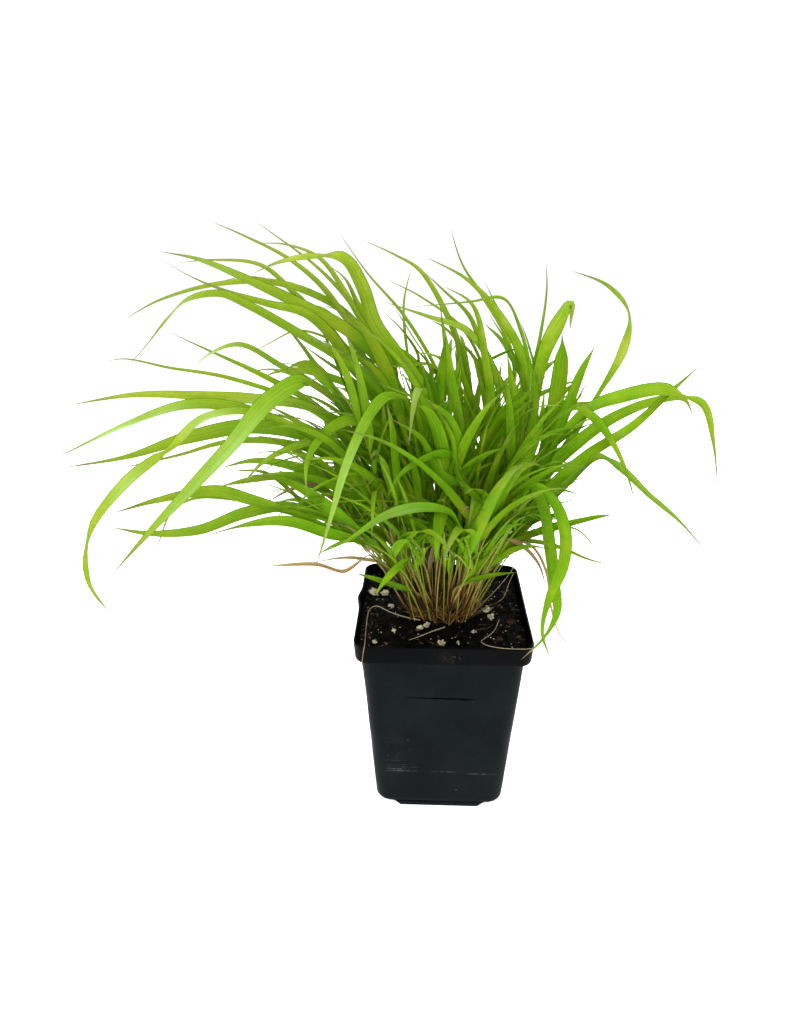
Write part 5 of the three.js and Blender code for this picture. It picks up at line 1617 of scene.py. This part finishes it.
def lumpy_ball(radius, scale, turn, seed):
    """One crumb, chip or grain: a small ball squeezed, roughened and turned."""
    ball = bmesh.new()
    bmesh.ops.create_icosphere(ball, subdivisions=4, radius=1)
    spin = Euler(turn).to_matrix()
    for vert in ball.verts:
        where = vert.co * GRAIN.scale + Vector((seed * 3.7, seed, 0))
        push = 1 + GRAIN.roughness * noise.fractal(where, 0.9, 2.0, 3)
        vert.co = spin @ Vector(vert.co[i] * push * scale[i] * radius * MM for i in range(3))
    return ball


def scatter_tree():
    """Crumbs, bark chips, perlite and fibres lying on the top of the potting mix."""
    inputs = {
        "Potting mix": "Geometry", "Crumbs": 220000.0, "Crumb size": 0.001, "Chips": 13000.0,
        "Chip size": 0.002, "Perlite": 20000.0, "Perlite size": 0.001, "Fibres": 6000.0,
        "Fibre length": 0.006, "Mix finish": "Material", "Bark finish": "Material",
        "Perlite finish": "Material", "Fibre finish": "Material"}
    nodes, given = new_tree("Potting mix top", "GeometryNodeTree", inputs, {"Potting mix": "Geometry"})
    ground = given["Potting mix"]
    facing_up = nodes.math("GREATER_THAN", nodes.split(nodes.shape("InputNormal"))[2], 0.3)
    height = nodes.split(nodes.shape("InputPosition"))[2]
    top = nodes.times(facing_up, nodes.math("GREATER_THAN", height, (SOIL.level - 3) * MM))

    def strewn(shape, density, size, spread, finish, seed, tilt=6.3, scale=(1, 1, 1)):
        spots = nodes.shape("DistributePointsOnFaces", {
            "Mesh": ground, "Selection": top, "Density": given[density], "Seed": seed})
        least, most = (-tilt, -tilt, 0), (tilt, tilt, FULL_TURN)
        turned = nodes.first("FunctionNodeRandomValue", {0: least, 1: most, "Seed": seed + 1},
                             data_type="FLOAT_VECTOR")
        sized = nodes.add("FunctionNodeRandomValue", {2: spread[0], 3: spread[1], "Seed": seed + 2},
                          data_type="FLOAT").outputs[1]
        sized = nodes.scaled(nodes.joined(*scale), nodes.times(sized, given[size]))
        placed = nodes.shape("InstanceOnPoints", {
            "Points": spots, "Instance": shape, "Rotation": turned, "Scale": sized})
        return nodes.painted(nodes.shape("RealizeInstances", {0: placed}), given[finish])

    def ball(subdivisions, roughness):
        shape = nodes.shape("MeshIcoSphere", {"Radius": 1.0, "Subdivisions": subdivisions})
        rough = nodes.noise(nodes.shape("InputPosition"), "grain")
        push = nodes.times(nodes.centred(rough), roughness)
        offset = nodes.scaled(nodes.shape("InputNormal"), push)
        return nodes.shape("SetPosition", {"Geometry": shape, "Offset": offset})

    def sliver():
        line = nodes.shape("CurvePrimitiveBezierSegment", {
            "Resolution": 5, "Start": (-0.5, 0, 0), "Start Handle": (-0.2, 0.16, 0.1),
            "End Handle": (0.2, -0.12, 0.2), "End": (0.5, 0.05, 0)})
        ring = nodes.shape("CurvePrimitiveCircle", {"Resolution": 4, "Radius": 0.02})
        return nodes.shape("CurveToMesh", {"Curve": line, "Profile Curve": ring, "Fill Caps": True})

    crumb, bark, perlite = ball(1, MIX_TOP.crumb), ball(1, MIX_TOP.bark), ball(2, MIX_TOP.perlite)
    whole = nodes.joined_shapes([
        nodes.painted(ground, given["Mix finish"]),
        strewn(crumb, "Crumbs", "Crumb size", (0.35, 1.3), "Mix finish", 1),
        strewn(bark, "Chips", "Chip size", (0.4, 1.3), "Bark finish", 11, tilt=0.5, scale=(1, 0.5, 0.22)),
        strewn(perlite, "Perlite", "Perlite size", (0.3, 1.6), "Perlite finish", 21, scale=(1, 0.8, 0.6)),
        strewn(sliver(), "Fibres", "Fibre length", (0.4, 1.4), "Fibre finish", 31, tilt=0.5)])
    nodes.add("NodeGroupOutput", {"Potting mix": nodes.shape("RealizeInstances", {0: whole})})
    return nodes.tree


def make_soil_piece(look):
    peat, bark = (look.mix_dark, look.mix_mid, look.mix_light), (look.mix_dark, look.bark, look.bark_light)
    # The perlite's darker mottle is painted shade in its hollows; the soil look's dust colour is that shade.
    perlite = (look.dust, look.perlite)
    values = {
        "Mix finish": new_material("potting_mix", mix_surface, peat, scale=260),
        "Bark finish": new_material("bark_chips", mix_surface, bark, scale=180),
        "Perlite finish": new_material(
            "perlite", mix_surface, perlite, scale=420, roughness=0.8, relief=0.0004),
        "Fibre finish": new_material("fibres", mix_surface, (look.mix_mid, look.straw), scale=300),
        "Crumb size": look.crumb_size, "Chip size": look.chip_size, "Perlite size": look.perlite_size,
        "Fibre length": look.fibre_length,
    }
    soil = grown("potting_mix", soil_block(), scatter_tree(), values, "soil")
    grains = bmesh.new()
    grains.from_mesh(soil.data)
    for i, (u, v, radius) in enumerate(GRAINS):
        x, y, _ = at_height(u, v, SOIL.level + 1)
        bark = i in BARK_GRAINS
        shape = GRAIN.bark_shape if bark else GRAIN.shape
        ball = lumpy_ball(radius, shape, turn=(0.3 * i, 0.2, i), seed=i)
        index = soil.data.materials.find("bark_chips" if bark else "perlite")
        centre = Vector((x, y, soil_height(x, y) + GRAIN.lift * radius)) * MM
        corners = {vert: grains.verts.new(vert.co + centre) for vert in ball.verts}
        for face in ball.faces:
            made = grains.faces.new([corners[vert] for vert in face.verts])
            made.material_index, made.smooth = index, True
        ball.free()
    grains.to_mesh(soil.data)
    grains.free()


# ---- stage
# Each light by its name: where it stands and the side of its square, in metres.
LIGHTS = {"key": ((-0.7, -0.5, 1.2), 0.7), "back": ((0.3, 1.1, 0.9), 0.8), "front": ((0.1, -1.1, 0.55), 0.6)}
LIT_POINT = Vector((0, 0, 0.16))
CAMERA = Values(sensor=36, far=20)


def aimed(thing, place, target):
    thing.location = place
    thing.rotation_euler = (target - Vector(place)).to_track_quat("-Z", "Y").to_euler()


def make_stage(look):
    """A pale floor, soft light from above and both sides, and the camera."""
    scene = bpy.context.scene
    floor = linked("floor", bpy.data.meshes.new("floor"))
    half = look.floor_size / 2
    corners = [(-half, -half, 0), (half, -half, 0), (half, half, 0), (-half, half, 0)]
    floor.data.from_pydata(corners, [], [(0, 1, 2, 3)])
    floor.data.materials.append(new_material("pale_floor", floor_surface, look))
    world = bpy.data.worlds.new("soft_daylight")
    nodes = cleared_nodes(world)
    backdrop = nodes.first("Background", {"Color": WHITE, "Strength": look.backdrop_strength})
    sky = nodes.first("Background", {"Color": WHITE, "Strength": look.sky_strength})
    seen = nodes.add("LightPath").outputs["Is Camera Ray"]
    both = nodes.first("MixShader", {0: seen, 1: sky, 2: backdrop})
    nodes.add("OutputWorld", {"Surface": both})
    scene.world = world
    for name, (place, size) in LIGHTS.items():
        light = bpy.data.lights.new(f"{name}_light", "AREA")
        light.size, light.energy = size, getattr(look, f"{name}_power")
        aimed(linked(f"{name}_light", light), place, LIT_POINT)
    camera = bpy.data.cameras.new("camera")
    camera.lens, camera.sensor_width, camera.clip_end = look.lens, CAMERA.sensor, CAMERA.far
    scene.camera = linked("camera", camera)
    aimed(scene.camera, Vector(SHEET.eye) * MM, Vector(SHEET.aim) * MM)
    scene.view_settings.view_transform = "Standard"


# ---- settings
def colour(name, text, value):
    return bpy.props.FloatVectorProperty(
        name=name, description=text, default=value, subtype="COLOR", min=0, max=1)


def number(name, text, value, **more):
    return bpy.props.FloatProperty(name=name, description=text, default=value, min=0, **more)


def count(name, text, value):
    return bpy.props.IntProperty(name=name, description=text, default=value, min=0)


def length(name, text, value):
    return number(name, text, value * MM, unit="LENGTH", precision=4)


def share(name, text, value):
    return number(name, text, value, soft_max=1)


class GrassSettings(bpy.types.PropertyGroup):
    grass_seed: count("Seed", "Changes the small differences between leaves", 700)
    blade_thickness: share("Blade thickness", "Thickness as a share of half the blade's width", 0.03)
    blade_fold: share("Blade fold", "How far the margins rise, as a share of half the width", 0.3)
    blade_wander: number("Blade wander", "Small twists along a blade, in degrees", 5)
    fill_leaves: count("Fill leaves", "Further leaves on each stem", 4)
    skirt_leaves: count("Skirt leaves", "Broad leaves low on each stem", 2)
    young_culms: count("Young culms", "Slim culms beside each stem", 2)
    sheaths: count("Sheaths", "Loose old sheaths at each stem's foot", 3)
    stubs: count("Stubs", "Dead stubs at each stem's foot", 7)
    sheath_slim: length("Slim sheath", "Width of the slimmest sheath", 0.9)
    sheath_wide: length("Wide sheath", "Width of the widest sheath", 2.0)
    vein_lines: number("Vein lines", "Pale lines on each side of the midrib", 5)
    dead_share: share("Dead share", "Share of the fill leaves that are dead", 0.07)
    leaf_spots: share("Leaf spots", "How strong the brown spots are", 0.5)
    translucency: share("Translucency", "How much light comes through a blade", 0.36)
    yellowing: share("Yellowing", "How strong the yellowed patches are", 0.5)
    washed_out: share("Washed out", "How grey the thin tips of the leaves are", 0.6)
    olive_share: share("Olive share", "How far outer leaves turn olive", 0.52)
    olive_green: colour("Olive green", "Leaves at the outside of the tuft", (0.25, 0.295, 0.028))
    # Deep green is partly the leaves' own dark green and partly painted shade for the leaves inside the tuft.
    deep_green: colour("Deep green", "Leaves inside the tuft", (0.095, 0.262, 0.0015))
    fresh_green: colour("Fresh green", "Most leaves", (0.19, 0.345, 0.005))
    lime_green: colour("Lime green", "Leaves in the light, and the veins", (0.38, 0.47, 0.055))
    yellowed: colour("Yellowed", "Patches that turn yellow", (0.3, 0.32, 0.012))
    thin_green: colour("Thin green", "The thin tips of the leaves", (0.21, 0.21, 0.1))
    # Pale underside: partly the matt underside of a blade, partly a painted sheen, mint green, where a blade
    # catches the light.
    pale_underside: colour("Pale underside", "The matt side of a blade", (0.38, 0.6, 0.2))
    deep_through: colour("Deep glow", "Light through a dark leaf", (0.2, 0.46, 0.002))
    lime_through: colour("Lime glow", "Light through a bright leaf", (0.38, 0.5, 0.02))
    dead_brown: colour("Dead brown", "The darkest dead tissue", (0.13, 0.09, 0.04))
    dead_tan: colour("Dead tan", "Dry tips and spots", (0.31, 0.24, 0.115))
    bleached: colour("Bleached", "Leaves that died last year", (0.56, 0.4, 0.17))
    culm_green: colour("Culm green", "The upper culms", (0.13, 0.22, 0.01))
    culm_olive: colour("Culm olive", "The lower culms", (0.2, 0.21, 0.02))
    straw: colour("Straw", "Dry culms", (0.27, 0.22, 0.06))
    old_straw: colour("Old straw", "Loose straws of last year", (0.32, 0.28, 0.19))
    amber_sheath: colour("Amber sheath", "Old sheaths", (0.18, 0.075, 0.013))
    # Dead sheath: partly the colour of rotting sheaths, partly painted shade among the culm feet at the soil.
    dead_sheath: colour("Dead sheath", "Rotting sheaths at the soil", (0.018, 0.009, 0.004))


class PotSettings(bpy.types.PropertyGroup):
    pot_wall: colour("Wall", "The plastic of the wall", (0.0018, 0.003, 0.0034))
    pot_rim: colour("Rim", "The plastic of the rim", (0.0004, 0.0006, 0.0008))
    pot_haze: colour("Haze", "Plastic that has weathered", (0.007, 0.0095, 0.01))
    pot_scratch: colour("Scratch", "Fine scratches", (0.055, 0.06, 0.058))
    dust: colour("Dust", "Dried soil and dust", (0.075, 0.065, 0.052))
    pot_dust: share("Dustiness", "Dust all over the pot", 0.12)


class SoilSettings(bpy.types.PropertyGroup):
    mix_dark: colour("Dark mix", "Wet peat", (0.0003, 0.0002, 0.0001))
    mix_mid: colour("Mix", "Peat", (0.0009, 0.0006, 0.0003))
    mix_light: colour("Light mix", "Dry peat", (0.006, 0.0042, 0.002))
    bark: colour("Bark", "Bark chips", (0.05, 0.025, 0.012))
    bark_light: colour("Light bark", "The pale edges of chips", (0.1, 0.055, 0.028))
    perlite: colour("Perlite", "Grains of perlite", (0.55, 0.5, 0.34))
    # Perlite in shade: a painted shade colour mottled into the perlite grains, not dust.
    dust: colour("Perlite in shade", "The hollows of perlite grains", (0.13, 0.11, 0.07))
    straw: colour("Fibre", "Fibres in the mix", (0.12, 0.09, 0.055))
    crumb_size: length("Crumb size", "Radius of a crumb", 0.9)
    chip_size: length("Chip size", "Half the length of a bark chip", 2.2)
    perlite_size: length("Perlite size", "Radius of a grain", 0.42)
    fibre_length: length("Fibre length", "Length of a fibre", 7)


class StageSettings(bpy.types.PropertyGroup):
    floor: colour("Floor", "The pale floor", (0.93, 0.93, 0.93))
    floor_glow: share("Floor glow", "Light of the floor itself, so that it stays white", 0.47)
    floor_size: number("Floor size", "Side of the floor", 6, unit="LENGTH")
    lens: number("Lens", "Focal length", 26, unit="CAMERA")
    backdrop_strength: number("Backdrop", "How bright the backdrop looks", 1.12)
    sky_strength: number("Sky", "Strength of the even light", 0.6)
    key_power: number("Key light", "Power of the light from the upper left", 17, unit="POWER")
    back_power: number("Back light", "Power of the light from behind", 20, unit="POWER")
    front_power: number("Front light", "Power of the light beside the camera", 14, unit="POWER")


# ---- operators and panel
class PieceBuilder:
    """What the operators share: each runs its builder with the scene's settings for it."""

    def execute(self, context):
        self.build(getattr(context.scene, self.settings))
        return {"FINISHED"}


class FOREST_GRASS_OT_pot(PieceBuilder, bpy.types.Operator):
    """Build the square nursery pot"""
    bl_idname = "forest_grass.pot"
    bl_label = "Nursery Pot"
    settings, build = "forest_grass_pot", staticmethod(make_pot_piece)


class FOREST_GRASS_OT_soil(PieceBuilder, bpy.types.Operator):
    """Fill the pot with potting mix"""
    bl_idname = "forest_grass.soil"
    bl_label = "Potting Mix"
    settings, build = "forest_grass_soil", staticmethod(make_soil_piece)


class FOREST_GRASS_OT_stems(PieceBuilder, bpy.types.Operator):
    """Grow the fine leaves, culms and sheaths of every stem"""
    bl_idname = "forest_grass.stems"
    bl_label = "Leafy Stems"
    settings, build = "forest_grass", staticmethod(make_stem_pieces)


class FOREST_GRASS_OT_straws(PieceBuilder, bpy.types.Operator):
    """Lay last year's dry straws over the soil and rim"""
    bl_idname = "forest_grass.straws"
    bl_label = "Dry Straws"
    settings, build = "forest_grass", staticmethod(make_straw_pieces)


class FOREST_GRASS_OT_stage(PieceBuilder, bpy.types.Operator):
    """Set up the floor, the lights and the camera"""
    bl_idname = "forest_grass.stage"
    bl_label = "Stage"
    settings, build = "forest_grass_stage", staticmethod(make_stage)


class FOREST_GRASS_PT_panel(bpy.types.Panel):
    """The pieces and their settings"""
    bl_idname = "FOREST_GRASS_PT_panel"
    bl_label = "Potted Forest Grass"
    bl_space_type = "VIEW_3D"
    bl_region_type = "UI"
    bl_category = "Forest Grass"

    def draw(self, context):
        for operator in OPERATORS:
            box = self.layout.box()
            box.operator(operator.bl_idname)
            group = getattr(context.scene, operator.settings)
            for name in group.bl_rna.properties.keys():
                if name not in ("rna_type", "name"):
                    box.prop(group, name)


SETTINGS = {
    "forest_grass": GrassSettings, "forest_grass_pot": PotSettings,
    "forest_grass_soil": SoilSettings, "forest_grass_stage": StageSettings,
}
OPERATORS = (
    FOREST_GRASS_OT_pot, FOREST_GRASS_OT_soil, FOREST_GRASS_OT_stems, FOREST_GRASS_OT_straws,
    FOREST_GRASS_OT_stage,
)
CLASSES = (*SETTINGS.values(), *OPERATORS, FOREST_GRASS_PT_panel)


def register():
    for kind in CLASSES:
        bpy.utils.register_class(kind)
    for name, settings in SETTINGS.items():
        setattr(bpy.types.Scene, name, bpy.props.PointerProperty(type=settings))


def unregister():
    for name in SETTINGS:
        delattr(bpy.types.Scene, name)
    for kind in reversed(CLASSES):
        bpy.utils.unregister_class(kind)


def main():
    register()
    bpy.ops.forest_grass.pot()
    bpy.ops.forest_grass.soil()
    bpy.ops.forest_grass.stems()
    bpy.ops.forest_grass.straws()
    bpy.ops.forest_grass.stage()


if __name__ == "__main__":
    main()
